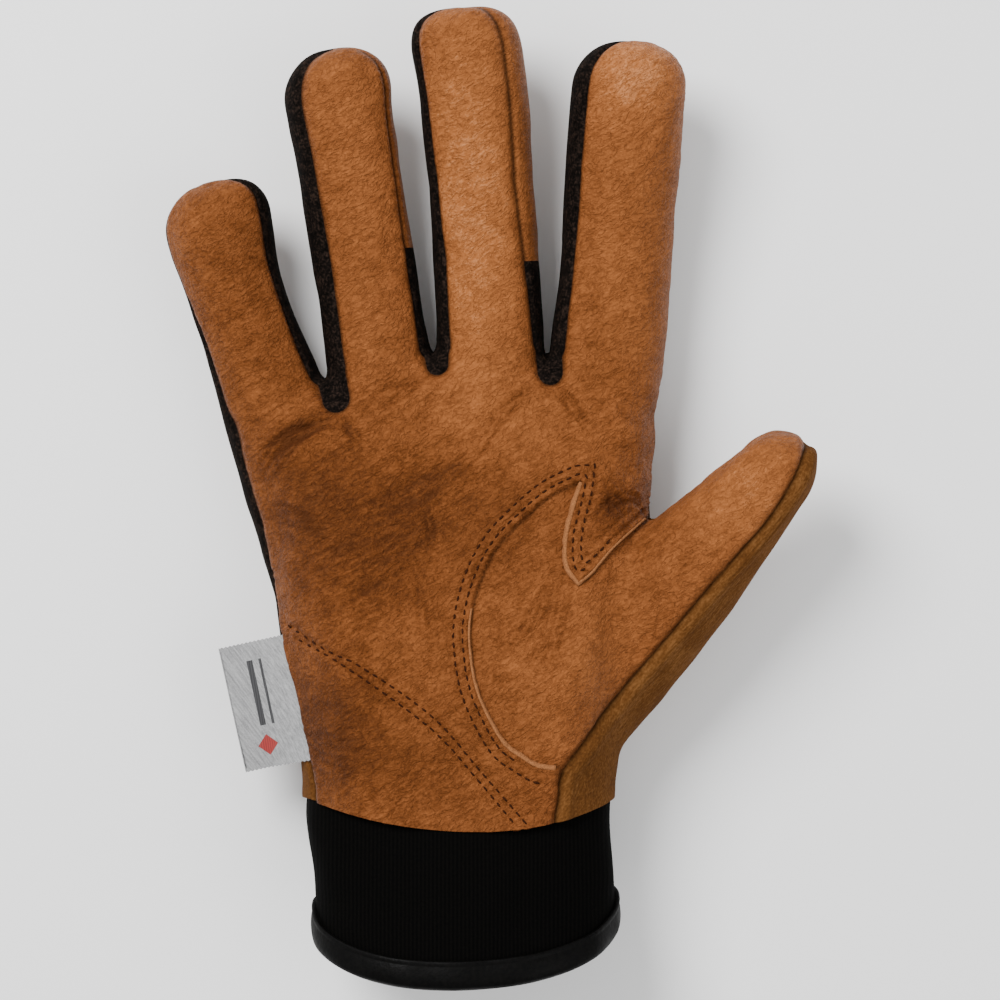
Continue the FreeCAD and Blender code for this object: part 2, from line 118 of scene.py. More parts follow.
KNUCKLE_ZONE = 15.5  # mm of a finger, past its knuckle, in the knuckle's pieces
BEND_ZONE = 10.0  # mm to each side of its bend

THUMB = dict(
    offset=[(-44, 2.5), (-18, 2.7), (2, 1.5), (20, 1.6), (39, 1.0), (48, 1.1)],
    half=[(-44, 18.2), (-18, 16.8), (2, 15.8), (20, 13.1), (34, 10.8), (48, 8.9)],
    depth=[(-44, 19.0), (0, 16.0), (20, 14.0), (48, 11.0)],
    end=46.9, cap=11.0, blunt=2.3, splay=42.5, lift=10.0,
)
THUMB_ZONE = (5.5, 20.0)
THUMB_FORK = (42.6, -3.5)  # where the thumb leaves the palm, and the direction of the gap between them
FORK_LEAN = 28.0

# The palm, as (y, left edge, right edge, back, palm side)
PALM = [
    (32, -74.8, 46.4, 3.2, 30.0),
    (22, -72.1, 46.6, 1.6, 32.0),
    (14, -66.4, 43.0, 0.9, 33.7),
    (6, -61.9, 41.3, 0.4, 35.5),
    (-3, -59.6, 42.0, 0.0, 37.4),
    (-11, -59.4, 42.5, 0.0, 38.9),
    (-20, -58.0, 42.2, 0.0, 40.6),
    (-40, -55.0, 39.4, 0.0, 44.0),
    (-60, -51.5, 35.8, 0.0, 46.8),
    (-80, -49.0, 32.4, 0.0, 49.0),
    (-96, -48.0, 31.8, 0.4, 50.4),
]
# Its front edge between the fingers, as (x, y)
FORK_LINE = [(-78, 14), (-60, 23), (-43, 32), (-28, 32), (-14, 39), (0, 35), (16, 37), (32, 30), (46, 20)]
FORK_ROUND = 10.0
# Soft swellings of the palm side, as (x, y, height, reach across, reach along)
SWELLS = [
    (25, -40, 4.5, 17, 24),
    (-12, -6, -3.2, 20, 20),
    (-36, -42, 1.6, 12, 24),
    (-5, -70, -1.2, 12, 10),
]
FINGER_UNION = 5.0
THUMB_UNION = 5.0

# The round ends of the black strips at the forks, as (start, end, radius)
FORK_ENDS = [
    ((-40.8, 27.4), (-43.0, 37.0), 3.6),
    ((-14.0, 36.6), (-14.5, 44.0), 2.7),
    ((16.0, 34.4), (15.4, 43.0), 3.2),
]

# The side seam's height, and on the little finger's side the edges' heights as (y, leather, knit)
SEAM_Z = 19.2
SEAM_RISE = 0.073
OUTER_SEAMS = [
    (34, 25.0, 11.5), (22, 26.0, 12.0), (10, 23.8, 12.5), (-10, 24.2, 14.0), (-22, 24.6, 15.0),
    (-34, 25.6, 16.0),
    (-37, 26.2, 26.2),
    (-50, 30.0, 30.0), (-66, 34.4, 34.4), (-80, 37.5, 37.5),
]

# Seams in plan
THUMB_SEAM = [
    (18.3, -69.6), (13.0, -69.0), (8.6, -66.6), (3.1, -62.1), (-3.1, -49.6), (-5.2, -37.4), (-4.7, -28.5),
    (-1.9, -19.2), (2.2, -11.6), (7.7, -5.6), (15.5, 1.2), (24.2, 5.6),
]
TONGUE_LEFT = [(24.2, 5.6), (22.3, -0.4), (20.1, -9.0), (20.1, -16.4), (23.2, -21.5)]
TONGUE_RIGHT = [(23.2, -21.5), (26.8, -18.6), (32.8, -11.9), (42.6, -3.5)]
KNIT_SEAM = [
    (84.5, 18.0), (82.6, 13.0), (79.4, 5.4), (73.0, -4.9), (63.9, -15.4), (54.8, -25.8), (46.3, -36.2),
    (33.6, -51.4), (24.8, -63.0), (19.0, -71.0), (17.9, -78.5), (15.6, -90.0),
]
HEEL_ROWS = [
    [(-53.8, -32.4), (-43.0, -38.8), (-33.2, -43.4), (-14.9, -56.2), (-2.2, -70.5), (9.9, -84.2)],
    [(-50.8, -36.1), (-36.8, -43.7), (-15.6, -59.0), (-4.4, -71.0), (7.1, -84.6)],
]
THUMB_ROWS = [1.8, 4.2]  # distances of the stitch rows from the palm's cut edge
STITCH_PITCH = 2.45
STITCH_LENGTH = 1.85
STITCH_RADIUS = 0.25

# The same rows as drawn: distance from the cut edge, steps of the seam left out, and the turn in the tongue
THUMB_ROWS_DRAWN = [
    (1.8, 22, [(25.4, 6.6), (24.2, 0.0), (22.0, -8.6), (21.9, -15.2), (22.9, -18.2), (24.4, -17.8)]),
    (4.2, 8, [
        (27.7, 9.7), (26.6, 1.5), (24.6, -6.0), (23.9, -12.6), (25.0, -16.0), (29.2, -12.6), (32.4, -9.0),
    ]),
]

# The cuff, as (y, left edge, right edge, back, palm side)
CUFF = [
    (-66, -47.6, 33.4, 2.0, 46.2),
    (-75, -48.2, 32.4, 1.8, 47.4),
    (-84, -48.7, 31.5, 1.6, 48.6),
    (-96, -46.6, 32.4, 1.4, 50.4),
    (-110, -45.6, 33.0, 1.4, 51.8),
    (-130, -46.8, 33.4, 1.4, 53.2),
]
RIM_Y = -112.6
RIM_SLANT = (0.16, 0.52)  # on the back and on the palm side
RIM_TILT = 0.03
RIM_THICK = 1.3
# The binding's section: out of the cuff, and up from its rim
BINDING_SECTION = [
    (-4.0, 6.2), (0.1, 6.3), (0.8, 6.6), (1.25, 6.1), (1.0, 5.3), (1.2, 4.4), (1.45, 2.6), (1.45, 1.0),
    (1.0, -0.4), (-0.4, -1.15), (-2.1, -1.3), (-3.8, -1.1), (-5.0, -0.2), (-5.4, 1.4), (-5.4, 4.4),
    (-5.1, 6.0),
]

LABEL_SEAM = (-51.3, -51.8, 23.0)
LABEL_TURN = 12.6
LABEL_LENGTH = 33.6
LABEL_WIDTH = 17.8  # seen from above
LABEL_RISE = [(-17, 2.8), (0, 7.5), (17, 13.0)]  # of its sewn edge, along the seam
LABEL_REACH = (13.0, 1.1)  # how far out the rise reaches, and the power it falls by
LABEL_THICK = 0.55
LABEL_MARKS = [
    ("label_mark_diamond", "mark_red", [(10.2, 8.0), (13.0, 10.8), (10.2, 13.6), (7.4, 10.8)]),
    ("label_mark_bar", "mark_dark", [(9.6, -12.0), (11.2, -12.0), (11.2, 5.5), (9.6, 5.5)]),
    ("label_mark_line", "mark_dark", [(7.2, -12.0), (7.9, -12.0), (7.9, 5.5), (7.2, 5.5)]),
]

# The hem: its level at the sides, how far it bows down on the palm side, and how far it rises on the back
HEM_Y = -78.3
HEM_Z = 25.5
HEM_BOW = 7.6
HEM_RISE = (2.0, 8.0)  # left and right
HEM_MIDDLE = -3.0
HEM_HALVES = (44.0, 36.8)
TUCK = 6.0  # mm that the cuff reaches up inside the hem

# Creases of the palm leather, as (from, to, sag, lines, distance between them, depth, width)
CREASES = [
    ((-41, 22.5), (-61, 8), -2.5, 1, 0.0, 1.2, 2.2),
    ((-41, 22.5), (-60, 8), -2.5, 6, 1.3, 0.50, 0.6),
    ((-50, 19.5), (-65, 17.6), 0.5, 4, 2.4, 0.32, 0.6),
    ((-45, -6.4), (-59.5, -3.8), -1.0, 4, 1.8, 0.36, 0.6),
    ((-16, -6), (-44, -21), 1.5, 8, 2.0, 0.28, 0.6),
    ((-20, -20), (-48, -33), 1.5, 6, 2.0, 0.22, 0.6),
    ((12, 28), (-32, -6), -2.0, 1, 0.0, 0.9, 3.6),
    ((14.6, 31), (-5, 12.5), -1.5, 3, 1.7, 0.40, 0.6),
    ((-3, 14.5), (-31, -4.5), 1.2, 5, 1.7, 0.42, 0.65),
    ((-15.5, 33), (-30, 25), -1.0, 4, 1.5, 0.36, 0.55),
    ((-14.5, 32), (-20, 18), 0.8, 2, 1.8, 0.26, 0.6),
    ((17.5, 30.5), (26, 16.5), 0.8, 4, 1.4, 0.38, 0.55),
    ((15.5, 30), (12.5, 17), 0.4, 2, 1.6, 0.28, 0.6),
    ((-39.5, 22), (-34.0, 13), 0.5, 3, 1.4, 0.32, 0.55),
    ((-17, 0), (-15.5, -14), 0.6, 2, 1.8, 0.45, 0.6),
    ((-19.5, -15.5), (-16, -36), 0.8, 3, 2.1, 0.28, 0.6),
    ((18.6, -16.5), (9, -42), 1.6, 7, 1.8, 0.34, 0.6),
    ((24, -22), (17, -46), 1.0, 1, 0.0, 0.6, 3.0),
    ((29.5, 4.0), (35, -3.5), 0.3, 3, 1.7, 0.50, 0.7),
    ((27.0, -5.5), (37, 1.5), 0.8, 2, 2.2, 0.50, 0.8),
    ((34, 2.0), (42, -2.5), 0.5, 2, 1.8, 0.40, 0.7),
    ((36, -14), (50, -3.5), -1.5, 4, 2.2, 0.22, 0.6),
    ((-52, -63), (-30, -66), -1.0, 4, 2.6, 0.20, 0.7),
]
# painted shade in the creases: how much they darken the leather's colour
CREASE_SHADE = 0.6  # of the tint, to a mm of a crease's depth
# Painted light and shade: lighter and darker regions of the leather, as (x, y, amount, reach across, reach
# along)
PAINTED_LIGHT_AND_SHADE = [
    (-14, -4, -0.24, 30, 22),
    (-46, -4, -0.24, 14, 24),
    (-44, -62, -0.34, 18, 18),
    (-10, -70, -0.10, 20, 14),
    (2, 18, 0.14, 22, 10),
    (33, -3, -0.20, 5, 6),
    (-66, 50, -0.08, 15, 42),
    (-36, 90, 0.14, 15, 44),
    (-6, 80, 0.38, 15, 52),
    (36, 76, 0.14, 17, 40),
    (38, 114, 0.42, 16, 14),
    (22, -40, 0.12, 20, 22),
    (66, 2, 0.30, 20, 20),
]


# Frames -------------------------------------------------------------------------------------------


def unit(vector):
    return np.asarray(vector, float) / np.linalg.norm(vector)


JOINTS = {j["name"]: j for j in frame["joints"]}


def joint_place(name):
    return np.array(JOINTS[name]["pos_m"]) / MM


def finger_frame(name):
    """A finger's knuckle, and the directions across it, along it and out of its palm side."""
    knuckle = joint_place(f"{name}_knuckle")
    along = joint_place(f"{name}_bend") - knuckle
    across = unit(JOINTS[f"{name}_knuckle"]["axis"])
    root = float(np.linalg.norm(along))
    along = unit(along)
    return knuckle, np.array([across, along, np.cross(across, along)]), root


def thumb_frame():
    splay = math.radians(THUMB["splay"])
    lift = math.radians(THUMB["lift"])
    along = np.array([math.sin(splay) * math.cos(lift), math.cos(splay) * math.cos(lift), math.sin(lift)])
    across = np.array([math.cos(splay), -math.sin(splay), 0.0])
    return joint_place("thumb_flex"), np.array([across, along, np.cross(across, along)])


def profile(stations, column=1, spread=4.0):
    """A smooth curve through a few stations, as a function of place."""
    stations = sorted(stations)
    places = [s[0] for s in stations]
    at = np.arange(places[0] - 30.0, places[-1] + 30.0, 0.5)
    values = np.interp(at, places, [s[column] for s in stations])
    reach = np.arange(-3 * spread, 3 * spread + 0.1, 0.5)
    weights = np.exp(-0.5 * (reach / spread) ** 2)
    values = np.pad(values, len(reach) // 2, mode="edge")
    smooth = np.convolve(values, weights / weights.sum(), mode="valid")
    return lambda place: np.interp(place, at, smooth)


def smoothstep(low, high, value):
    t = np.clip((value - low) / (high - low), 0.0, 1.0)
    return t * t * (3 - 2 * t)


class Tube:
    """A finger or the thumb: a soft tube along its own frame, closed by a blunt tip."""

    def __init__(self, sizes, origin, axes, root=None):
        self.origin = origin
        self.axes = axes
        self.root = root
        self.end = sizes["end"]
        self.cap = sizes["cap"]
        self.blunt = sizes["blunt"]
        self.offset = profile(sizes["offset"])
        self.half = profile(sizes["half"])
        self.depth = profile(sizes["depth"])
        rise = math.tan(math.radians(REST_CURL))
        bend = root if root else self.end
        self.lift = profile([(-20, 0.0), (bend, 0.0), (bend + 80, 80 * rise)], spread=5.0)
        self.tail = sizes["offset"][0][0] - 14.0

    def local(self, points):
        """Places across, along and out of the palm side, from the tube's own centre line."""
        u, v, w = ((points - self.origin) @ self.axes.T).T
        return u - self.offset(v), v, w - self.lift(v)

    def field(self, points):
        u, v, w = self.local(points)
        half = self.half(v)
        depth = self.depth(v)
        power = SECTION_POWER
        section = (np.abs(u / half) ** power + np.abs(w / depth) ** power) ** (1 / power)
        beyond = np.maximum(v - (self.end - self.cap), 0.0) / self.cap
        behind = np.maximum(self.tail - v, 0.0) / 16.0
        reach = np.maximum(beyond, behind)
        return ((section**self.blunt + reach**self.blunt) ** (1 / self.blunt) - 1.0) * depth


TUBES = {}
for finger_name, finger_sizes in FINGERS.items():
    place, axes_of, root_length = finger_frame(finger_name)
    TUBES[finger_name] = Tube(finger_sizes, place, axes_of, root_length)
THUMB_TUBE = Tube(THUMB, *thumb_frame())
THUMB_TUBE.tail = -38.0

OUTER_LEATHER, OUTER_KNIT = (profile(OUTER_SEAMS, column, 1.2) for column in (1, 2))
FRONT_SEAMS = {
    name: [profile(sizes["front"], column, 3.0) for column in (1, 2)] for name, sizes in FINGERS.items()
}
PALM_LEFT, PALM_RIGHT, PALM_BACK, PALM_TOP = (profile(PALM, column, 5.0) for column in (1, 2, 3, 4))
FORKS = profile(FORK_LINE, 1, 2.5)


def palm_field(points):
    """The palm's skin: flat sides, round edges, soft swellings, and a rounded front between the fingers."""
    x, y, z = points.T
    left, right, back, top = PALM_LEFT(y), PALM_RIGHT(y), PALM_BACK(y), PALM_TOP(y)
    radius = (top - back) / 2
    middle = (top + back) / 2
    upper = np.clip((z - middle) / radius, 0.0, 1.2)
    swell = sum(h * np.exp(-(((x - cx) / rx) ** 2) - ((y - cy) / ry) ** 2) for cx, cy, h, rx, ry in SWELLS)
    z = z - swell * upper
    flat = np.maximum((right - left) / 2 - radius, 0.0)
    aside = np.maximum(np.abs(x - (left + right) / 2) - flat, 0.0)
    sides = np.hypot(aside, z - middle) - radius + FORK_ROUND
    front = y - FORKS(x) + FORK_ROUND
    inner = np.minimum(np.maximum(sides, front), 0.0)
    return inner + np.hypot(np.maximum(sides, 0.0), np.maximum(front, 0.0)) - FORK_ROUND


def soft_min(a, b, reach):
    h = np.maximum(reach - np.abs(a - b), 0.0) / reach
    return np.minimum(a, b) - h * h * reach / 4


def glove_field(points):
    palm = palm_field(points)
    skin = soft_min(palm, THUMB_TUBE.field(points), THUMB_UNION)
    for tube in TUBES.values():
        skin = np.minimum(skin, soft_min(palm, tube.field(points), FINGER_UNION))
    return skin


# Meshes -------------------------------------------------------------------------------------------


def grid_field(field, voxel, inset):
    """The field on a fine grid, worked out only near the skin, and the grid's corner."""
    low = np.array(CAD_BOX[0]) / MM - 6.0
    high = np.array(CAD_BOX[1]) / MM + 6.0
    coarse = voxel * COARSE
    count = np.ceil((high - low) / coarse).astype(int)
    centres = [low[i] + coarse * (np.arange(count[i]) + 0.5) - voxel / 2 for i in range(3)]
    blocks = np.stack(np.meshgrid(*centres, indexing="ij"), -1).reshape(-1, 3)
    rough = (field(blocks) + inset).reshape(count)
    near = np.abs(rough) < coarse * 1.6
    for axis in range(3):
        near = np.repeat(near, COARSE, axis)
        rough = np.repeat(rough, COARSE, axis)
    where = np.argwhere(near)
    values = np.clip(rough, -3 * voxel, 3 * voxel)
    values[tuple(where.T)] = field(low + where * voxel) + inset
    return values.astype(np.float32), low


def slope(field, points, step=0.15):
    steps = np.eye(3) * step
    return np.stack([field(points + s) - field(points - s) for s in steps], -1) / (2 * step)


def isosurface(field, voxel, inset=0.0, rounds=3):
    """The surface where the field is -inset, as points and triangles."""
    values, low = grid_field(field, voxel, inset)
    grid = openvdb.FloatGrid(3 * voxel)
    grid.copyFromArray(values)
    points, triangles, quads = grid.convertToPolygons(isovalue=0.0, adaptivity=0.0)
    points = points.astype(float) * voxel + low
    for _ in range(rounds):
        value = field(points) + inset
        gradient = slope(field, points)
        points = points - gradient * (value / np.maximum((gradient**2).sum(1), 0.05))[:, None]
    quads = quads.astype(int)
    shorter = np.linalg.norm(points[quads[:, 0]] - points[quads[:, 2]], axis=1) < np.linalg.norm(
        points[quads[:, 1]] - points[quads[:, 3]], axis=1
    )
    first = np.where(shorter[:, None], quads[:, [0, 1, 2]], quads[:, [0, 1, 3]])
    second = np.where(shorter[:, None], quads[:, [0, 2, 3]], quads[:, [1, 2, 3]])
    return points, outward(points, np.concatenate([triangles.astype(int).reshape(-1, 3), first, second]))


def outward(points, triangles):
    """The triangles, all turned so that the closed surface faces out."""
    a, b, c = (points[triangles[:, i]] for i in range(3))
    volume = np.einsum("ij,ij->i", a, np.cross(b, c)).sum()
    return triangles if volume > 0 else triangles[:, ::-1]


def point_normals(points, triangles):
    a, b, c = (points[triangles[:, i]] for i in range(3))
    flat = np.cross(b - a, c - a)
    normals = np.zeros_like(points)
    for i in range(3):
        for axis in range(3):
            normals[:, axis] += np.bincount(triangles[:, i], flat[:, axis], len(points))
    return normals / np.maximum(np.linalg.norm(normals, axis=1), 1e-9)[:, None]


def part_of(skin, triangles):
    """The skin with only these triangles and their points."""
    used, index = np.unique(triangles, return_inverse=True)
    made = {key: values[used] for key, values in skin.items() if key != "tri"}
    made["tri"] = index.reshape(-1, 3)
    return made


def split(skin, level):
    """The parts of a skin above and below a level's zero, cut exactly along it."""
    tri = skin["tri"]
    level = np.where(np.abs(level) < SNAP, 0.0, level)
    side = np.sign(level)[tri]
    crossed = (side.min(1) < 0) & (side.max(1) > 0)
    cut = tri[crossed]
    signs = side[crossed]
    touching = (signs == 0).any(1)
    alone = np.argmax(signs == -np.sign(signs.sum(1))[:, None], axis=1)
    first = np.where(touching, np.argmax(signs == 0, axis=1), alone)
    cut = np.take_along_axis(cut, (first[:, None] + np.arange(3)) % 3, 1)
    a, b, c = cut.T
    edges = np.concatenate([
        np.stack([b[touching], c[touching]], 1),
        np.stack([a[~touching], b[~touching]], 1),
        np.stack([a[~touching], c[~touching]], 1),
    ])
    unique, inverse = np.unique(np.sort(edges, 1), axis=0, return_inverse=True)
    p, q = unique.T
    share = level[p] / (level[p] - level[q])
    made = {}
    for key, values in skin.items():
        if key != "tri":
            weight = share.reshape((-1,) + (1,) * (values.ndim - 1))
            made[key] = np.concatenate([values, values[p] + weight * (values[q] - values[p])])
    level = np.concatenate([level, np.zeros(len(unique))])
    new = inverse.reshape(-1) + len(skin["pos"])
    on_line, other = touching.sum(), (~touching).sum()
    middle = new[:on_line]
    near, far = new[on_line:on_line + other], new[on_line + other:]
    at, bt, ct = a[touching], b[touching], c[touching]
    ao, bo, co = a[~touching], b[~touching], c[~touching]
    tri = np.concatenate([
        tri[~crossed],
        np.stack([at, bt, middle], 1), np.stack([at, middle, ct], 1),
        np.stack([ao, near, far], 1), np.stack([near, bo, co], 1), np.stack([near, co, far], 1),
    ])
    above = level[tri].sum(1) >= 0
    return part_of(made, tri[above]), part_of(made, tri[~above])


# Noise --------------------------------------------------------------------------------------------


def noise(points, seed):
    """Smooth noise between -1 and 1, with about one bump to a unit."""
    table = np.random.default_rng(seed).uniform(-1, 1, HASH_SIZE)
    base = np.floor(points).astype(np.int64)
    t = points - base
    t = t * t * (3 - 2 * t)
    total = np.zeros(len(points))
    for corner in np.ndindex(2, 2, 2):
        x, y, z = (base + corner).T
        index = (x * HASH[0] ^ y * HASH[1] ^ z * HASH[2]) & (HASH_SIZE - 1)
        weight = np.prod(np.where(np.array(corner), t, 1 - t), axis=1)
        total += weight * table[index]
    return total


def turned_plan(points, degrees):
    angle = math.radians(degrees)
    c, s = math.cos(angle), math.sin(angle)
    x, y, z = points.T
    return np.stack([x * c + y * s, y * c - x * s, z], -1)


# Plan curves --------------------------------------------------------------------------------------


def curve(points, step=0.5):
    """Points a step apart along a smooth curve through a few points."""
    points = np.array(points, float)
    ends = np.concatenate([[2 * points[0] - points[1]], points, [2 * points[-1] - points[-2]]])
    made = []
    for a, b, c, d in zip(ends, ends[1:], ends[2:], ends[3:]):
        count = max(int(np.linalg.norm(c - b) / step), 1)
        t = (np.arange(count) / count)[:, None]
        made.append(0.5 * (2 * b + (c - a) * t + (2 * a - 5 * b + 4 * c - d) * t**2
                           + (3 * b - a - 3 * c + d) * t**3))
    return np.concatenate(made + [points[-1:]])


def distance_to(line, x, y):
    """The plan distance from points to a line, which is points in order."""
    best = np.full(len(x), 1e9)
    for (ax, ay), (bx, by) in zip(line, line[1:]):
        dx, dy = bx - ax, by - ay
        t = np.clip(((x - ax) * dx + (y - ay) * dy) / max(dx * dx + dy * dy, 1e-12), 0, 1)
        best = np.minimum(best, (x - ax - t * dx) ** 2 + (y - ay - t * dy) ** 2)
    return np.sqrt(best)


def inside(ring, x, y):
    """Whether points in plan lie inside a closed ring."""
    found = np.zeros(len(x), bool)
    for (ax, ay), (bx, by) in zip(ring, np.roll(ring, -1, axis=0)):
        if ay != by:
            found ^= ((ay > y) != (by > y)) & (x < (bx - ax) * (y - ay) / (by - ay) + ax)
    return found


THUMB_EDGE = np.concatenate([curve(THUMB_SEAM)[:-1], curve(TONGUE_LEFT)[:-1], curve(TONGUE_RIGHT)])
THUMB_RING = np.concatenate([THUMB_EDGE, [(150, 110), (150, -120), (18.6, -120)]])
KNIT_LINE = curve(KNIT_SEAM, 2.0)
KNIT_RING = np.concatenate([KNIT_LINE, [(15.6, -150), (-200, -150), (-200, 200), (84.5, 200)]])


# Seams --------------------------------------------------------------------------------------------


def chord(tube, angles, u, v, w, tip):
    """How far a point of a finger lies on the palm side of the line between two seams of its section."""
    into_cap = np.clip((v - tube.end + tube.cap) / tube.cap, 0.0, 0.98)
    shrink = (1 - into_cap**tube.blunt) ** (1 / tube.blunt)
    half, depth = tube.half(v) * shrink, tube.depth(v) * shrink
    left, right = (np.radians(a) for a in angles)
    u1, w1 = half * np.sin(left), depth * np.cos(left)
    u2, w2 = half * np.sin(right), depth * np.cos(right)
    border = w1 + (w2 - w1) * (u - u1) / (u2 - u1)
    return w - border - tip * (1 - shrink)


def finger_levels(name, points):
    """A point's places across and along a finger, and how far it is on the palm side of the two seams."""
    tube = TUBES[name]
    u, v, w = tube.local(points)
    front = chord(tube, [seam(v) for seam in FRONT_SEAMS[name]], u, v, w, 1.2)
    back = chord(tube, FINGERS[name]["back"], u, v, w, -1.4)
    return u, v, front, back


def seam_heights(points):
    """The heights of the leather's edge and the knit's along the sides of the hand."""
    x, y, z = points.T
    height = SEAM_Z - SEAM_RISE * y
    outer = smoothstep(-28.0, -38.0, x)
    return [height * (1 - outer) + side(y) * outer for side in (OUTER_LEATHER, OUTER_KNIT)]


def fork_ends(x, y):
    """The plan distance out of the round ends of the black strips at the forks."""
    return np.min([distance_to((start, end), x, y) - radius for start, end, radius in FORK_ENDS], axis=0)


def hem_line(x, z):
    """Where the hem runs along the wrist."""
    across = np.clip((x - HEM_MIDDLE) / np.where(x < HEM_MIDDLE, *HEM_HALVES), -1.0, 1.0)
    bow = HEM_BOW * (1 - across**2) * smoothstep(HEM_Z - 4.0, HEM_Z + 12.0, z)
    rise = HEM_RISE[0] + (HEM_RISE[1] - HEM_RISE[0]) * smoothstep(-1.0, 1.0, across)
    return HEM_Y - bow + rise * smoothstep(HEM_Z + 1.0, HEM_Z - 16.0, z)


def signed_distance(line, ring, points):
    """The plan distance to a seam line, positive inside the ring that it is part of."""
    x, y, z = points.T
    far = distance_to(line, x, y)
    return np.where(inside(ring, x, y), far, -far)


def measured(points):
    """Every value that the skin is cut and wrinkled by, at its points."""
    names = list(FINGERS)
    fields = np.stack([TUBES[name].field(points) for name in names], 1)
    lane = fields.argmin(1)
    levels = [finger_levels(name, points) for name in names]
    pick = lambda k: np.choose(lane, [level[k] for level in levels])
    u, v, front, back = (pick(k) for k in range(4))
    near_finger = smoothstep(-8.0, 7.0, v)
    x, y, z = points.T
    seam, knit_seam = (z - height for height in seam_heights(points))
    thumb_u, thumb_v, thumb_w = THUMB_TUBE.local(points)
    thumb_near = smoothstep(-12.0, 6.0, thumb_v) * smoothstep(-22.0, -16.0, thumb_u)
    side = seam * (1 - near_finger) + front * near_finger
    side = side * (1 - thumb_near) + (thumb_w + 3.0) * thumb_near
    lower = knit_seam * (1 - near_finger) + back * near_finger
    lower = lower * (1 - thumb_near) + (thumb_w + 3.0) * thumb_near
    side = np.where(z > 12.0, np.minimum(side, fork_ends(x, y)), side)
    knit = signed_distance(KNIT_LINE, KNIT_RING, points)
    lean = math.radians(FORK_LEAN)
    fork = (x - THUMB_FORK[0]) * math.cos(lean) - (y - THUMB_FORK[1]) * math.sin(lean)
    made = {
        "u": u, "v": v, "front": np.minimum(side, knit),
        "back": np.maximum(np.minimum(lower, knit), np.minimum(side, knit)), "knit": knit,
        "thumb_edge": signed_distance(THUMB_EDGE, THUMB_RING, points),
        "thumb_zone": np.minimum(thumb_v - THUMB_ZONE[0], fork),
        "hem": y - hem_line(x, z),
    }
    for k, name in enumerate(names):
        others = np.delete(fields, k, 1).min(1)
        made[f"zone_{name}"] = np.minimum(levels[k][1], (others - fields[:, k]) * 0.5)
    return made


# Relief -------------------------------------------------------------------------------------------


def bell(distance, width):
    """1 at no distance, and falling off smoothly over a width."""
    return np.exp(-((distance / width) ** 2))


def crease_relief(x, y):
    """The relief of the hand's creases, which fade at their ends, and the painted shade that darkens the fine
    ones.
    """
    total = np.zeros(len(x))
    dark = np.zeros(len(x))
    for (ax, ay), (bx, by), sag, lines, apart, deep, wide in CREASES:
        dx, dy = bx - ax, by - ay
        length = math.hypot(dx, dy)
        along = ((x - ax) * dx + (y - ay) * dy) / length**2
        aside = ((y - ay) * dx - (x - ax) * dy) / length - 4.0 * sag * along * (1 - along)
        for k in range(lines):
            offset = (k - (lines - 1) / 2) * apart
            fan = 0.55 + 0.6 * np.clip(along, 0.0, 1.0)
            off = aside - offset * fan - 0.3 * np.sin(9.0 * along + 2.1 * k + ax)
            middle = 0.5 + 0.12 * math.sin(3.7 * k + ay)
            fade = np.exp(-(((along - middle) / 0.42) ** 4))
            groove = deep * fade * bell(off, wide)
            total -= groove
            # painted shade: the fine creases darken the colour
            dark += groove * min(0.5 / wide, 1.0) ** 1.5
            total += 0.3 * deep * fade * bell(off - 1.6 * wide, wide)
    return total, dark


def creases(points, degrees, long, short, seed):
    """Fine creases in one direction: 0 between them and 1 in them."""
    turned = turned_plan(points, degrees) / np.array([long, short, long * 0.7])
    waver = noise(points / 9.0, seed + 1)[:, None] * np.array([0.0, 1.3, 0.0])
    value = noise(turned + waver, seed)
    return bell(value, 0.22)


def relief(points, m):
    """How far each point stands out from the smooth skin."""
    x, y, z = points.T
    top = smoothstep(8.0, 20.0, z)
    leather = smoothstep(-0.6, 0.6, m["front"])
    on_hand = smoothstep(6.0, -8.0, m["v"])
    total = 0.35 * noise(points / 13.0, 11) + 0.16 * noise(points / 6.0, 12)
    diagonal = creases(points, 30, 8.0, 2.1, 21) * (0.5 + 0.5 * noise(points / 16.0, 22))
    total -= 0.20 * leather * diagonal
    total -= 0.14 * leather * creases(points, 14, 10.0, 3.0, 31)
    total += top * leather * on_hand * crease_relief(x, y)[0]
    total -= 0.20 * leather * on_hand * creases(points, 34, 14.0, 3.0, 41)
    # the seams pull in, and the leather beside them rolls up a little
    total -= 0.55 * bell(m["front"], 0.9)
    total += 0.30 * bell(m["front"] - 2.2, 1.4)
    total -= 0.45 * (1 - leather) * bell(m["back"], 1.0)
    rolled = bell(m["knit"] + 2.6, 1.5) * smoothstep(0.0, 4.0, z - 20.0)
    total += 0.9 * (1 - leather) * rolled
    # the palm's cut edge lies on the thumb panel
    edge = m["thumb_edge"]
    total += 0.6 * leather * top * smoothstep(0.0, -0.3, edge) * smoothstep(-16.0, -4.0, edge)
    total -= 0.35 * leather * top * bell(edge, 1.3) * (edge > 0)
    for row in THUMB_ROWS:
        total -= 0.32 * leather * top * on_hand * bell(edge + row, 0.55)
    for row in HEEL_ROWS:
        apart = distance_to(curve(row, 2.0), x, y)
        total -= 0.45 * leather * top * bell(apart, 0.6)
        total += 0.16 * leather * top * bell(apart - 1.5, 0.8)
    for ridge in (0.8, 3.0):
        total += 0.25 * leather * top * bell(edge + ridge, 0.7) * on_hand
    total += 0.5 * bell(m["hem"], 3.0)
    return total


def painted_leather_shading(points, m):
    """Painted shade and light on the leather: darker in the palm's hollow and in creases, lighter on tips and
    mound.
    """
    x, y, z = points.T
    tint = 0.0 * x
    for cx, cy, amount, rx, ry in PAINTED_LIGHT_AND_SHADE:
        tint += amount * np.exp(-(((x - cx) / rx) ** 2) - ((y - cy) / ry) ** 2)
    return tint - CREASE_SHADE * crease_relief(x, y)[1] * smoothstep(8.0, 20.0, z)


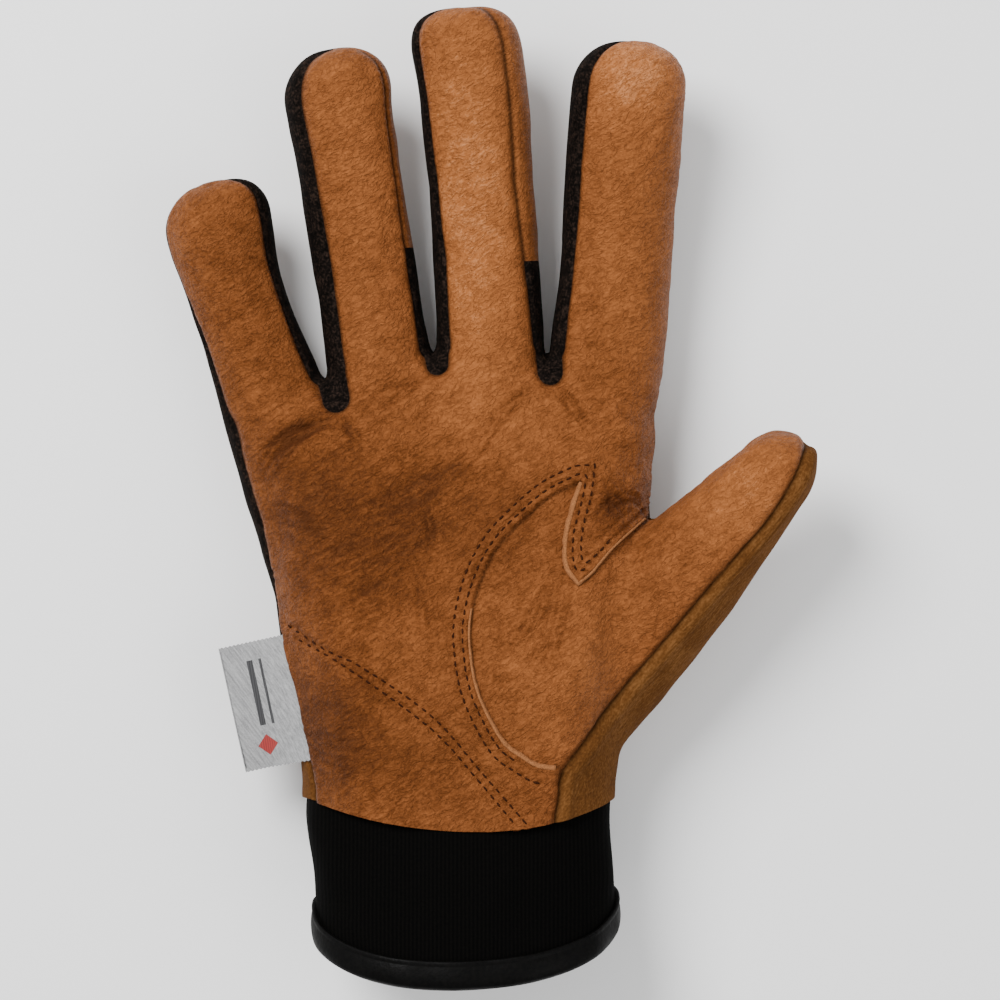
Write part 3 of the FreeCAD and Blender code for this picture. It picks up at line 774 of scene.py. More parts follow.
def seam_shadow(m):
    """How dark the painted shade in the seams makes the surface."""
    edge = m["thumb_edge"]
    total = 0.8 * bell(m["front"], 0.55) + 0.6 * bell(edge - 0.25, 0.38)
    return np.clip(total, 0.0, 1.0)


def glove_skin():
    """The whole skin with its relief, and every value that it is cut by."""
    points, triangles = isosurface(glove_field, VOXEL)
    normals = slope(glove_field, points)
    normals /= np.maximum(np.linalg.norm(normals, axis=1), 1e-9)[:, None]
    m = measured(points)
    raised = points + normals * relief(points, m)[:, None]
    raised[:, 2] = np.maximum(raised[:, 2], 0.05)
    skin = dict(m)
    skin["pos"] = raised
    skin["rest"] = points
    skin["nor"] = point_normals(raised, triangles)
    # painted shade and light for the leather's colour
    skin["tint"] = painted_leather_shading(points, m)
    # painted shade in the seams
    skin["seam"] = seam_shadow(m)
    skin["tri"] = triangles
    return skin


# Pieces -------------------------------------------------------------------------------------------


def rim_edges(triangles):
    """The directed edges that belong to one triangle only."""
    edges = np.concatenate([triangles[:, [0, 1]], triangles[:, [1, 2]], triangles[:, [2, 0]]])
    size = int(edges.max()) + 1 if len(edges) else 1
    forward = edges[:, 0] * size + edges[:, 1]
    backward = edges[:, 1] * size + edges[:, 0]
    return edges[~np.isin(forward, backward)]


def make_piece(name, skin, thick, material, sunk=0.0):
    """A closed shell in metres: the skin, its inside, and the edges between them."""
    normals = skin["nor"]
    outer = skin["pos"] - normals * sunk
    inner = outer - normals * thick
    count = len(outer)
    tri = skin["tri"]
    rim = rim_edges(tri)
    a, b = rim.T
    faces = np.concatenate([
        tri, tri[:, ::-1] + count,
        np.stack([b, a, a + count], 1), np.stack([b, a + count, b + count], 1),
    ])
    points = np.concatenate([outer, inner])
    mesh = bpy.data.meshes.new(name)
    mesh.vertices.add(len(points))
    mesh.vertices.foreach_set("co", (points * MM).astype(np.float32).ravel())
    mesh.loops.add(faces.size)
    mesh.loops.foreach_set("vertex_index", faces.astype(np.int32).ravel())
    mesh.polygons.add(len(faces))
    mesh.polygons.foreach_set("loop_start", np.arange(0, faces.size, 3, dtype=np.int32))
    mesh.update()
    mesh.shade_smooth()
    corner = np.concatenate([normals[tri].reshape(-1, 3), -normals[tri[:, ::-1]].reshape(-1, 3)])
    p, q, r = (points[faces[2 * len(tri):, i]] for i in range(3))
    flat = np.cross(q - p, r - p)
    flat /= np.maximum(np.linalg.norm(flat, axis=1), 1e-9)[:, None]
    corner = np.concatenate([corner, np.repeat(flat, 3, 0)])
    mesh.normals_split_custom_set(corner.tolist())
    store(mesh, "rest", np.concatenate([skin["rest"], skin["rest"]]), "FLOAT_VECTOR")
    for key in ("tint", "seam"):
        if key in skin:
            store(mesh, key, np.concatenate([skin[key], skin[key]]), "FLOAT")
    return placed(name, mesh, material)


def placed(name, mesh, material):
    """The mesh as an object of the scene."""
    mesh.materials.append(material)
    made = bpy.data.objects.new(name, mesh)
    bpy.context.scene.collection.objects.link(made)
    return made


def store(mesh, name, values, kind):
    attribute = mesh.attributes.new(name, kind, "POINT")
    key = "vector" if kind == "FLOAT_VECTOR" else "value"
    attribute.data.foreach_set(key, values.astype(np.float32).ravel())


def grid_piece(name, points, material, wrap_around=True, wrap_along=False, rest=None):
    """A smooth mesh through a grid of points, in metres: rows along, columns around."""
    rows, columns = points.shape[:2]
    index = np.arange(rows * columns).reshape(rows, columns)
    if wrap_around:
        index = np.concatenate([index, index[:, :1]], 1)
    if wrap_along:
        index = np.concatenate([index, index[:1]], 0)
    quads = np.stack([index[:-1, :-1], index[:-1, 1:], index[1:, 1:], index[1:, :-1]], -1).reshape(-1, 4)
    mesh = bpy.data.meshes.new(name)
    mesh.from_pydata((points.reshape(-1, 3) * MM).tolist(), [], quads.tolist())
    mesh.shade_smooth()
    store(mesh, "rest", (points if rest is None else rest).reshape(-1, 3), "FLOAT_VECTOR")
    return placed(name, mesh, material)


def blend_line(origin, along, start, end):
    return [tuple((origin + along * place) * MM) for place in (start, end)]


# Materials ----------------------------------------------------------------------------------------


class Shader:
    """A material under construction, with short calls for its nodes."""

    def __init__(self, name, roughness=0.6, **fixed):
        self.material = bpy.data.materials.new(name)
        self.material.use_nodes = True
        self.nodes = self.material.node_tree.nodes
        self.links = self.material.node_tree.links
        self.bsdf = self.nodes["Principled BSDF"]
        self.bsdf.inputs["Roughness"].default_value = roughness
        for socket, value in fixed.items():
            self.bsdf.inputs[socket.replace("_", " ")].default_value = value
        rest = self.nodes.new("ShaderNodeAttribute")
        rest.attribute_name = "rest"
        self.rest = rest.outputs["Vector"]

    def put(self, socket, value):
        """Links an output to a socket, or sets it to a plain value."""
        if hasattr(value, "links"):
            self.links.new(value, socket)
        else:
            socket.default_value = value

    def attribute(self, name):
        node = self.nodes.new("ShaderNodeAttribute")
        node.attribute_name = name
        return node.outputs["Fac"]

    def math(self, operation, a, b=0.0, clamp=False):
        node = self.nodes.new("ShaderNodeMath")
        node.operation = operation
        node.use_clamp = clamp
        self.put(node.inputs[0], a)
        self.put(node.inputs[1], b)
        return node.outputs[0]

    def place(self, turn=0.0, scale=(1, 1, 1), source=None):
        """The rest position, or another source, in axes turned by degrees and then scaled."""
        node = self.nodes.new("ShaderNodeMapping")
        node.vector_type = "TEXTURE"
        node.inputs["Rotation"].default_value = (0.0, 0.0, math.radians(turn))
        node.inputs["Scale"].default_value = [1 / share for share in scale]
        self.put(node.inputs["Vector"], source or self.rest)
        return node.outputs[0]

    def warp(self, vector, scale, amount):
        """A place moved about by up to an amount."""
        node = self.nodes.new("ShaderNodeTexNoise")
        self.put(node.inputs["Vector"], vector)
        node.inputs["Scale"].default_value = scale
        shift = self.nodes.new("ShaderNodeVectorMath")
        shift.operation = "MULTIPLY_ADD"
        self.put(shift.inputs[0], node.outputs["Color"])
        shift.inputs[1].default_value = (amount, amount, amount)
        self.put(shift.inputs[2], vector)
        return shift.outputs[0]

    def noise(self, vector, scale, detail=3.0, rough=0.5):
        node = self.nodes.new("ShaderNodeTexNoise")
        self.put(node.inputs["Vector"], vector)
        node.inputs["Scale"].default_value = scale
        node.inputs["Detail"].default_value = detail
        node.inputs["Roughness"].default_value = rough
        return node.outputs["Fac"]

    def cells(self, vector, scale, feature="F1"):
        node = self.nodes.new("ShaderNodeTexVoronoi")
        node.feature = feature
        self.put(node.inputs["Vector"], vector)
        node.inputs["Scale"].default_value = scale
        return node.outputs["Distance"]

    def wave(self, vector, scale):
        node = self.nodes.new("ShaderNodeTexWave")
        self.put(node.inputs["Vector"], vector)
        node.inputs["Scale"].default_value = scale
        return node.outputs["Fac"]

    def ramp(self, value, *stops):
        """A colour ramp of (place, (r, g, b)) stops."""
        node = self.nodes.new("ShaderNodeValToRGB")
        elements = node.color_ramp.elements
        while len(elements) < len(stops):
            elements.new(0.5)
        for element, (place, colour) in zip(elements, stops):
            element.position = place
            element.color = (*colour, 1.0)
        self.put(node.inputs["Fac"], value)
        return node.outputs["Color"]

    def mix(self, share, a, b):
        node = self.nodes.new("ShaderNodeMix")
        node.data_type = "RGBA"
        self.put(node.inputs[0], share)
        self.put(node.inputs[6], a)
        self.put(node.inputs[7], b)
        return node.outputs[2]

    def stretch(self, value, low, high, to_low=0.0, to_high=1.0):
        node = self.nodes.new("ShaderNodeMapRange")
        self.put(node.inputs["Value"], value)
        node.inputs["From Min"].default_value = low
        node.inputs["From Max"].default_value = high
        node.inputs["To Min"].default_value = to_low
        node.inputs["To Max"].default_value = to_high
        return node.outputs[0]

    def finish(self, colour, bump=None, height=0.1, roughness=None):
        """The material, with a colour and a bump whose height is in mm."""
        self.put(self.bsdf.inputs["Base Color"], colour)
        if bump is not None:
            node = self.nodes.new("ShaderNodeBump")
            node.inputs["Strength"].default_value = 1.0
            node.inputs["Distance"].default_value = height * MM
            self.put(node.inputs["Height"], bump)
            self.put(self.bsdf.inputs["Normal"], node.outputs[0])
        if roughness is not None:
            self.put(self.bsdf.inputs["Roughness"], roughness)
        return self.material


def rgb(red, green, blue):
    """A linear colour from 0 to 255 display values."""
    shares = [c / 255 for c in (red, green, blue)]
    return tuple(((c + 0.055) / 1.055) ** 2.4 if c > 0.04 else c / 12.92 for c in shares)


def leather():
    """Grain leather: fine pebbles and short wrinkles along a diagonal, with dark pores, mottled."""
    s = Shader("leather", 0.55, Specular_IOR_Level=0.12, Specular_Tint=(1.0, 0.5, 0.22, 1.0))
    bent = s.warp(s.rest, 0.12, 2.5)
    diagonal = s.place(turn=32, scale=(0.55, 1.0, 0.8), source=bent)
    pebbles = s.cells(diagonal, 1.6, feature="SMOOTH_F1")
    wrinkles = s.math("ABSOLUTE", s.math("SUBTRACT", s.noise(diagonal, 0.55, detail=3.0, rough=0.6), 0.5))
    ridges = s.noise(s.place(turn=32, scale=(0.22, 1.0, 0.5), source=bent), 1.1, detail=2.0)
    grain = s.noise(s.rest, 2.2, detail=3.0, rough=0.6)
    pores = s.cells(s.rest, 0.7)
    mottle = s.noise(s.rest, 0.2, detail=5.0, rough=0.65)
    broad = s.noise(s.rest, 0.05, detail=2.0)
    # the tint attribute is painted shade and light: darker palm hollow and creases, lighter tips and mound
    shade = s.math("ADD", s.attribute("tint"), 0.43)
    for value, amount in ((mottle, 0.10), (broad, 0.05), (ridges, 0.07), (grain, 0.11)):
        shade = s.math("ADD", shade, s.stretch(value, 0.3, 0.7, -amount, amount))
    shade = s.math("ADD", shade, s.stretch(pebbles, 0.1, 0.6, 0.07, -0.07))
    base = s.ramp(
        shade,
        (0.0, rgb(63, 32, 14)), (0.25, rgb(90, 49, 22)), (0.5, rgb(117, 68, 35)), (0.75, rgb(140, 84, 45)),
        (1.0, rgb(172, 112, 70)),
    )
    base = s.mix(s.stretch(pores, 0.05, 0.25, 0.35, 0.0), base, (*rgb(52, 24, 9), 1.0))
    base = s.mix(s.stretch(wrinkles, 0.0, 0.03, 0.3, 0.0), base, (*rgb(56, 26, 10), 1.0))
    # painted shade in the seams darkens the leather
    base = s.mix(s.attribute("seam"), base, (*rgb(24, 11, 6), 1.0))
    bump = s.math("MULTIPLY", pebbles, -0.8)
    bump = s.math("ADD", bump, s.math("MULTIPLY", s.stretch(wrinkles, 0.0, 0.06), 0.5))
    bump = s.math("ADD", bump, s.math("MULTIPLY", ridges, 0.7))
    bump = s.math("ADD", bump, s.math("MULTIPLY", grain, 0.5))
    return s.finish(base, bump, 0.3, s.stretch(grain, 0.3, 0.7, 0.62, 0.45))


def tan_knit():
    """A tan double knit with fine ribs along the hand."""
    s = Shader("tan_knit", 0.9, Specular_IOR_Level=0.04, Specular_Tint=(1.0, 0.6, 0.3, 1.0))
    ribs = s.stretch(s.noise(s.place(turn=-40, scale=(2.4, 0.22, 2.4)), 0.8, detail=1.0), 0.3, 0.7)
    loops = s.noise(s.place(turn=-40, scale=(1.0, 0.6, 1.0)), 2.2, detail=2.0)
    broad = s.noise(s.rest, 0.06, detail=3.0)
    shade = s.math("ADD", s.stretch(broad, 0.3, 0.7, 0.38, 0.68), s.stretch(ribs, 0.0, 1.0, -0.14, 0.14))
    shade = s.math("ADD", shade, s.stretch(loops, 0.3, 0.7, -0.18, 0.18))
    base = s.ramp(shade, (0.0, rgb(52, 29, 12)), (0.5, rgb(84, 52, 24)), (1.0, rgb(114, 77, 43)))
    # painted shade in the seams darkens the knit
    base = s.mix(s.attribute("seam"), base, (*rgb(20, 9, 5), 1.0))
    bump = s.math("ADD", s.math("MULTIPLY", ribs, 0.6), loops)
    return s.finish(base, bump, 0.16)


def black_stretch():
    """Black four-way stretch fabric."""
    s = Shader("black_stretch", 0.9, Specular_IOR_Level=0.03)
    crepe = s.noise(s.rest, 1.5, detail=3.0, rough=0.6)
    fuzz = s.noise(s.rest, 0.5, detail=4.0, rough=0.7)
    shade = s.math("ADD", s.math("MULTIPLY", crepe, 0.6), s.math("MULTIPLY", fuzz, 0.4))
    base = s.ramp(shade, (0.38, rgb(5, 4, 3)), (0.5, rgb(15, 11, 9)), (0.64, rgb(44, 33, 27)))
    return s.finish(base, shade, 0.25)


def cuff_rib():
    """Black knit with fine ribs that run along the cuff."""
    s = Shader("cuff_rib", 0.9, Specular_IOR_Level=0.02)
    ribs = s.wave(s.rest, 0.3)
    fuzz = s.noise(s.rest, 1.6, detail=4.0)
    shade = s.math("ADD", s.math("MULTIPLY", ribs, 0.4), s.math("MULTIPLY", fuzz, 0.6))
    base = s.ramp(shade, (0.2, rgb(3, 3, 3)), (0.85, rgb(9, 8, 7)))
    return s.finish(base, shade, 0.12)


def binding_leather():
    """Smooth dark binding with a soft gloss."""
    s = Shader("binding_leather", 0.5, Specular_IOR_Level=0.05)
    grain = s.noise(s.rest, 0.9, detail=4.0)
    broad = s.noise(s.rest, 0.09, detail=2.0)
    base = s.ramp(grain, (0.3, rgb(3, 3, 3)), (0.8, rgb(9, 8, 7)))
    return s.finish(base, grain, 0.12, s.stretch(broad, 0.35, 0.65, 0.4, 0.65))


def fleece():
    """Dark grey brushed fleece."""
    s = Shader("fleece", 0.95, Specular_IOR_Level=0.1)
    fuzz = s.noise(s.rest, 0.8, detail=6.0, rough=0.7)
    base = s.ramp(fuzz, (0.3, rgb(50, 48, 46)), (0.75, rgb(94, 90, 86)))
    return s.finish(base, fuzz, 0.6)


def stitch_thread():
    s = Shader("stitch_thread", 0.8, Specular_IOR_Level=0.05)
    twist = s.noise(s.place(turn=20, scale=(1, 3, 1)), 1.5, detail=2.0)
    return s.finish(s.ramp(twist, (0.3, rgb(26, 12, 6)), (0.7, rgb(58, 29, 14))), twist, 0.1)


def raw_leather():
    """The pale fibrous side of a cut edge."""
    s = Shader("raw_leather", 0.95, Specular_IOR_Level=0.15)
    fibre = s.noise(s.rest, 2.2, detail=5.0, rough=0.7)
    return s.finish(s.ramp(fibre, (0.3, rgb(104, 63, 34)), (0.7, rgb(158, 104, 64))), fibre, 0.3)


def satin():
    """Grey woven satin with a fine diagonal."""
    s = Shader("satin", 0.45, Specular_IOR_Level=0.25)
    twill = s.noise(s.place(turn=-52, scale=(0.25, 2.4, 1.0)), 0.9, detail=1.0)
    fine = s.noise(s.rest, 2.4, detail=2.0)
    shade = s.math("ADD", s.math("MULTIPLY", twill, 0.6), s.math("MULTIPLY", fine, 0.4))
    return s.finish(s.ramp(shade, (0.3, rgb(112, 112, 113)), (0.7, rgb(158, 158, 158))), twill, 0.08)


def woven(name, colour, darker):
    """A woven mark on the label."""
    s = Shader(name, 0.6)
    threads = s.wave(s.place(turn=8.5), 0.5)
    return s.finish(s.ramp(threads, (0.0, darker), (1.0, colour)), threads, 0.08)


MATERIALS = {
    "leather": leather(),
    "tan_knit": tan_knit(),
    "black_stretch": black_stretch(),
    "cuff_rib": cuff_rib(),
    "binding": binding_leather(),
    "fleece": fleece(),
    "thread": stitch_thread(),
    "raw": raw_leather(),
    "satin": satin(),
    "mark_red": woven("mark_red", rgb(150, 40, 36), rgb(120, 30, 28)),
    "mark_dark": woven("mark_dark", rgb(50, 50, 52), rgb(34, 34, 36)),
}


def shell(name, skin, look, *nodes, thick=LEATHER):
    """A piece of the skin with its material slot, standing for any CAD nodes that are named."""
    piece = make_piece(name, skin, thick, MATERIALS[look])
    if nodes:
        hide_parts(*nodes)
    return piece


# The glove ----------------------------------------------------------------------------------------


def parts_of(skin):
    """A stretch of the glove as its leather, its black strips and its knit."""
    leather_part, rest = split(skin, skin["front"])
    strips, knit = split(rest, rest["back"])
    return leather_part, strips, knit


def build_finger(name, skin):
    """A finger's pieces, from the knuckle on, cut into a knuckle stretch and an end stretch."""
    tube = TUBES[name]
    along = tube.axes[1]
    knuckle_line = blend_line(tube.origin, along, 0.0, KNUCKLE_ZONE)
    bend_line = blend_line(tube.origin, along, tube.root - BEND_ZONE, tube.root + BEND_ZONE)
    end, start = split(skin, skin["v"] - KNUCKLE_ZONE)
    for zone, stretch, bodies, line in (
        ("knuckle", start, ("hand", f"{name}_root"), knuckle_line),
        ("end", end, (f"{name}_root", f"{name}_end"), bend_line),
    ):
        front, strips, knit = parts_of(stretch)
        stands_for = {"front": [f"{name}_knuckle_crease"], "back": [], "sides": []}
        if zone == "end":
            stands_for = {k: [f"{name}_root_{k}", f"{name}_end_{k}"] for k in ("front", "back", "sides")}
            stands_for["front"].append(f"{name}_bend_crease")
        made = [
            shell(f"{name}_{zone}_front", front, "leather", *stands_for["front"]),
            shell(f"{name}_{zone}_back", knit, "tan_knit", *stands_for["back"], thick=KNIT),
        ]
        from_place = FINGERS[name]["side_leather"]
        if zone == "end" and from_place:
            raw = np.minimum(strips["v"] - from_place, strips["u"])
            side_leather, strips = split(strips, raw)
            made.append(shell(f"{name}_side_leather", side_leather, "leather", f"{name}_end_side_leather"))
        made.append(shell(f"{name}_{zone}_sides", strips, "black_stretch", *stands_for["sides"], thick=KNIT))
        for piece in made:
            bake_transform(piece)


def build_thumb(skin):
    front, strips, knit = parts_of(skin)
    made = [
        shell("thumb_front", front, "leather", "thumb_front", "thumb_crease"),
        shell("thumb_back", knit, "tan_knit", "thumb_back", thick=KNIT),
    ]
    for piece in made:
        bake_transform(piece)


def build_hand(skin):
    front, strips, knit = parts_of(skin)
    thumb_panel, palm = split(front, front["thumb_edge"])
    made = [
        shell("palm_leather", palm, "leather", "palm_leather", "palm_reinforcement"),
        shell("thumb_panel", thumb_panel, "leather", "thumb_panel"),
        shell("back_panel", knit, "tan_knit", "back_panel", thick=KNIT),
        shell("fork_strips", strips, "black_stretch", "fork_strips", thick=KNIT),
    ]
    for piece in made:
        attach(piece, "hand")
    return palm, thumb_panel


def build_skin():
    """The outside of the glove. Returns the palm leather and the thumb panel, which the stitches lie on."""
    skin, _ = split_at_hem(glove_skin(), 0.0)
    thumb, skin = split(skin, skin["thumb_zone"])
    build_thumb(thumb)
    for name in FINGERS:
        finger, skin = split(skin, skin[f"zone_{name}"])
        build_finger(name, finger)
    return build_hand(skin)


def split_at_hem(skin, further):
    """The skin on the hand's side of its hem, moved down the wrist by a length, and the rest."""
    return split(skin, skin["hem"] + further)


def build_lining():
    """The insulated lining: one surface inside the skin, cut where the skin is cut for its flex lines."""
    points, triangles = isosurface(glove_field, LINING_VOXEL, LINING_DEPTH)
    whole = measured(points)
    whole.update(pos=points, rest=points, tri=triangles)
    whole["nor"] = point_normals(points, triangles)
    skin, _ = split_at_hem(whole, 5.0)
    thumb, skin = split(skin, skin["thumb_zone"])
    piece = shell("thumb_lining", thumb, "fleece", "thumb_lining", thick=LINING)
    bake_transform(piece)
    for name, tube in TUBES.items():
        finger, skin = split(skin, skin[f"zone_{name}"])
        end, start = split(finger, finger["v"] - KNUCKLE_ZONE)
        piece = shell(f"{name}_knuckle_lining", start, "fleece", thick=LINING)
        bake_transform(piece)
        nodes = (f"{name}_root_lining", f"{name}_end_lining")
        piece = shell(f"{name}_end_lining", end, "fleece", *nodes, thick=LINING)
        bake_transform(piece)
    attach(shell("hand_lining", skin, "fleece", "hand_lining", thick=LINING), "hand")


# Cuff ---------------------------------------------------------------------------------------------


CUFF_LEFT, CUFF_RIGHT, CUFF_BACK, CUFF_TOP = (profile(CUFF, column, 4.0) for column in (1, 2, 3, 4))


def cuff_point(turn, y):
    """Points of the cuff's outside at angles round it, and which way it faces there."""
    power = 2.6 - 0.45 * smoothstep(-82.0, -114.0, y)
    c, s = np.cos(turn), np.sin(turn)
    left, right, back, top = CUFF_LEFT(y), CUFF_RIGHT(y), CUFF_BACK(y), CUFF_TOP(y)
    half, depth = (right - left) / 2, (top - back) / 2
    x = (left + right) / 2 + half * np.sign(c) * np.abs(c) ** (2 / power)
    z = (top + back) / 2 + depth * np.sign(s) * np.abs(s) ** (2 / power)
    facing = np.stack([c / half, 0 * y, s / depth], -1)
    facing /= np.linalg.norm(facing, axis=-1)[..., None]
    return np.stack([x, y + 0 * x, z], -1), facing


def rim_y(x, z):
    slant = RIM_SLANT[0] + (RIM_SLANT[1] - RIM_SLANT[0]) * smoothstep(HEM_Z - 10.0, HEM_Z + 8.0, z)
    return RIM_Y - slant * (z - HEM_Z) + RIM_TILT * (x + 7.0)


def cuff_grid(share, columns):
    """Points of the cuff, at shares of the way from its tucked top to its rim."""
    turn = np.linspace(0, 2 * math.pi, columns, endpoint=False)[None, :] + 0 * share[:, None]
    y = np.full(turn.shape, -100.0)
    for _ in range(4):
        points, facing = cuff_point(turn, y)
        x, z = points[..., 0], points[..., 2]
        start = hem_line(x, z) + TUCK
        y = start + (rim_y(x, z) + RIM_THICK - start) * share[:, None]
    points, facing = cuff_point(turn, y)
    return points, facing


def cuff_waves(points):
    """The soft unevenness of the knit tube."""
    flat = points.reshape(-1, 3)
    waves = 0.55 * noise(flat / np.array([11.0, 26.0, 11.0]), 51) + 0.25 * noise(flat / 7.0, 52)
    return waves.reshape(points.shape[:-1])


def cuff_wall(name, look, outer, inner, until, columns=420, rows=64):
    """A closed tube of the cuff between two depths under its outside."""
    share = np.linspace(0.0, until, rows)
    points, facing = cuff_grid(share, columns)
    waves = (cuff_waves(points) * smoothstep(0.02, 0.2, share)[:, None])[..., None]
    outside = points + facing * (waves - outer)
    inside_wall = points + facing * (waves - inner)
    grid = np.concatenate([outside, inside_wall[::-1]])
    rest = np.concatenate([points, points[::-1]])
    return grid_piece(name, grid, MATERIALS[look], wrap_along=True, rest=rest)


def build_cuff():
    sleeve = cuff_wall("cuff_sleeve", "cuff_rib", 0.0, 2.2, 1.0)
    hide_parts("cuff_sleeve", "cuff_crease")
    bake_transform(sleeve)
    lining = cuff_wall("cuff_lining", "fleece", 2.25, 4.0, 0.985, 220, 40)
    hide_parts("cuff_lining")
    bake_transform(lining)
    points, facing = cuff_grid(np.array([1.0]), 420)
    waves = cuff_waves(points)[..., None]
    section = curve(BINDING_SECTION, 0.45)
    uneven = 1.0 + 0.05 * noise(points.reshape(-1, 3) / 5.0, 53)[None, :, None]
    grid = points + facing * (waves + section[:, 0][:, None, None] * uneven)
    grid = grid + np.array([0.0, 1.0, 0.0]) * section[:, 1][:, None, None]
    binding = grid_piece("cuff_binding", grid, MATERIALS["binding"], wrap_along=True)
    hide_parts("cuff_binding")
    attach(binding, "cuff")


# Stitches -----------------------------------------------------------------------------------------


class Ground:
    """The palm side, to lay things on."""

    def __init__(self, *skins):
        points, triangles, shift = [], [], 0
        for skin in skins:
            points += skin["pos"].tolist()
            triangles += (skin["tri"] + shift).tolist()
            shift = len(points)
        self.tree = BVHTree.FromPolygons(points, triangles)

    def at(self, x, y):
        """The point on the surface above a place in plan, and the way it faces."""
        hit, normal, _, _ = self.tree.ray_cast(Vector((x, y, 90.0)), Vector((0, 0, -1)))
        if hit is None:
            return None, None
        return np.array(hit), unit(np.array(normal) + np.array([0, 0, 0.8]))


def steps_along(line, pitch):
    """Places in plan a pitch apart along a line, with the line's direction there."""
    line = np.array(line, float)
    length = np.concatenate([[0.0], np.cumsum(np.linalg.norm(np.diff(line, axis=0), axis=1))])
    places = np.arange(pitch / 2, length[-1], pitch)
    x, y = (np.interp(places, length, line[:, i]) for i in range(2))
    ahead = [np.interp(places + 0.4, length, line[:, i]) - np.interp(places - 0.4, length, line[:, i])
             for i in range(2)]
    return x, y, np.arctan2(ahead[1], ahead[0])


def stitch(centre, facing, angle, length):
    """One stitch: a bowed thread whose ends sink into the leather."""
    along = np.array([math.cos(angle), math.sin(angle), 0.0])
    along = unit(along - facing * (along @ facing))
    across = np.cross(facing, along)
    rows = []
    for t in np.linspace(-1, 1, 7):
        radius = STITCH_RADIUS * math.sqrt(max(1 - abs(t) ** 3, 0.0)) + 0.01
        middle = centre + along * t * length / 2 + facing * (0.16 - 0.34 * t * t)
        turns = np.linspace(0, 2 * math.pi, 7, endpoint=False)
        rows.append([middle + radius * (across * math.cos(a) + facing * math.sin(a)) for a in turns])
    return np.array(rows)


def thread_piece(name, lines, ground, pitch, node):
    """Every stitch of some rows, as one piece."""
    rng = np.random.default_rng(61)
    points, quads = [], []
    for line in lines:
        for x, y, angle in zip(*steps_along(line, pitch)):
            centre, facing = ground.at(x, y)
            if centre is None:
                continue
            rows = stitch(centre, facing, angle + rng.normal(0, 0.05), STITCH_LENGTH * rng.uniform(0.9, 1.08))
            first = len(points)
            count = rows.shape[1]
            points += rows.reshape(-1, 3).tolist()
            for i in range(rows.shape[0] - 1):
                for j in range(count):
                    k = (j + 1) % count
                    quads.append([first + i * count + j, first + i * count + k,
                                  first + (i + 1) * count + k, first + (i + 1) * count + j])
            quads.append([first + j for j in reversed(range(count))])
            quads.append([first + (rows.shape[0] - 1) * count + j for j in range(count)])
    mesh = bpy.data.meshes.new(name)
    mesh.from_pydata((np.array(points) * MM).tolist(), [], quads)
    mesh.shade_smooth()
    store(mesh, "rest", np.array(points), "FLOAT_VECTOR")
    piece = placed(name, mesh, MATERIALS["thread"])
    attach(piece, "hand")
    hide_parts(node)


def beside(line, distance):
    """A line moved to its left by a distance."""
    line = np.array(line, float)
    ahead = np.gradient(line, axis=0)
    ahead /= np.linalg.norm(ahead, axis=1)[:, None]
    return line + np.stack([-ahead[:, 1], ahead[:, 0]], -1) * distance


def build_stitches(ground):
    seam = curve(THUMB_SEAM)
    rows = []
    for distance, skipped, tail in THUMB_ROWS_DRAWN:
        rows.append(np.concatenate([beside(seam, distance)[skipped:], tail[:1], curve(tail)]))
    thread_piece("thumb_seam_stitching", rows, ground, STITCH_PITCH, "thumb_seam_stitching")
    thread_piece("heel_stitching", [curve(row) for row in HEEL_ROWS], ground, 2.6, "heel_stitching")


def build_raw_edge(name, ground, line, widths):
    """A stretch of the palm leather's cut edge, pale and a little frayed, lying on the thumb panel."""
    right = beside(line, -1.0) - line
    ragged = noise(np.stack([line[:, 0], line[:, 1], 0 * line[:, 0]], -1) / 1.3, 71)
    widths = np.interp(np.linspace(0, 1, len(line)), *zip(*widths))
    rows = []
    for (x, y), (dx, dy), rag, width in zip(line, right, ragged, widths):
        upper, _ = ground.at(x - 0.7 * dx, y - 0.7 * dy)
        below, _ = ground.at(x + 1.6 * dx, y + 1.6 * dy)
        if upper is None or below is None:
            continue
        wide = width * (1.0 + 0.25 * rag)
        high, floor_z = upper[2], min(below[2], upper[2])
        section = [
            (-0.5, high - 1.2), (-0.4, high - 0.02), (0.1, high + 0.08),
            (0.55 * wide, high * 0.75 + floor_z * 0.25), (wide, floor_z + 0.12), (wide, floor_z - 0.6),
        ]
        rows.append([(x + dx * off, y + dy * off, z) for off, z in section])
    grid = np.array(rows)
    ends = [grid[:1].mean(1, keepdims=True) + 0 * grid[:1], grid[-1:].mean(1, keepdims=True) + 0 * grid[-1:]]
    piece = grid_piece(name, np.concatenate([ends[0], grid, ends[1]]), MATERIALS["raw"])
    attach(piece, "hand")


def build_raw_edges(ground):
    """The cut edge shows at the low end of the thumb seam and round the tongue."""
    start = curve(THUMB_SEAM)[2:104]
    tongue = np.concatenate([curve(TONGUE_LEFT)[1:-1], curve(TONGUE_RIGHT)[:-3]])
    low_widths = [(0.0, 0.9), (0.4, 0.6), (1.0, 0.2)]
    tongue_widths = [(0, 0.5), (0.1, 0.9), (0.5, 0.75), (0.55, 0.4), (1, 0.2)]
    build_raw_edge("palm_raw_edge_low", ground, start, low_widths)
    build_raw_edge("palm_raw_edge_tongue", ground, tongue, tongue_widths)


# Label --------------------------------------------------------------------------------------------


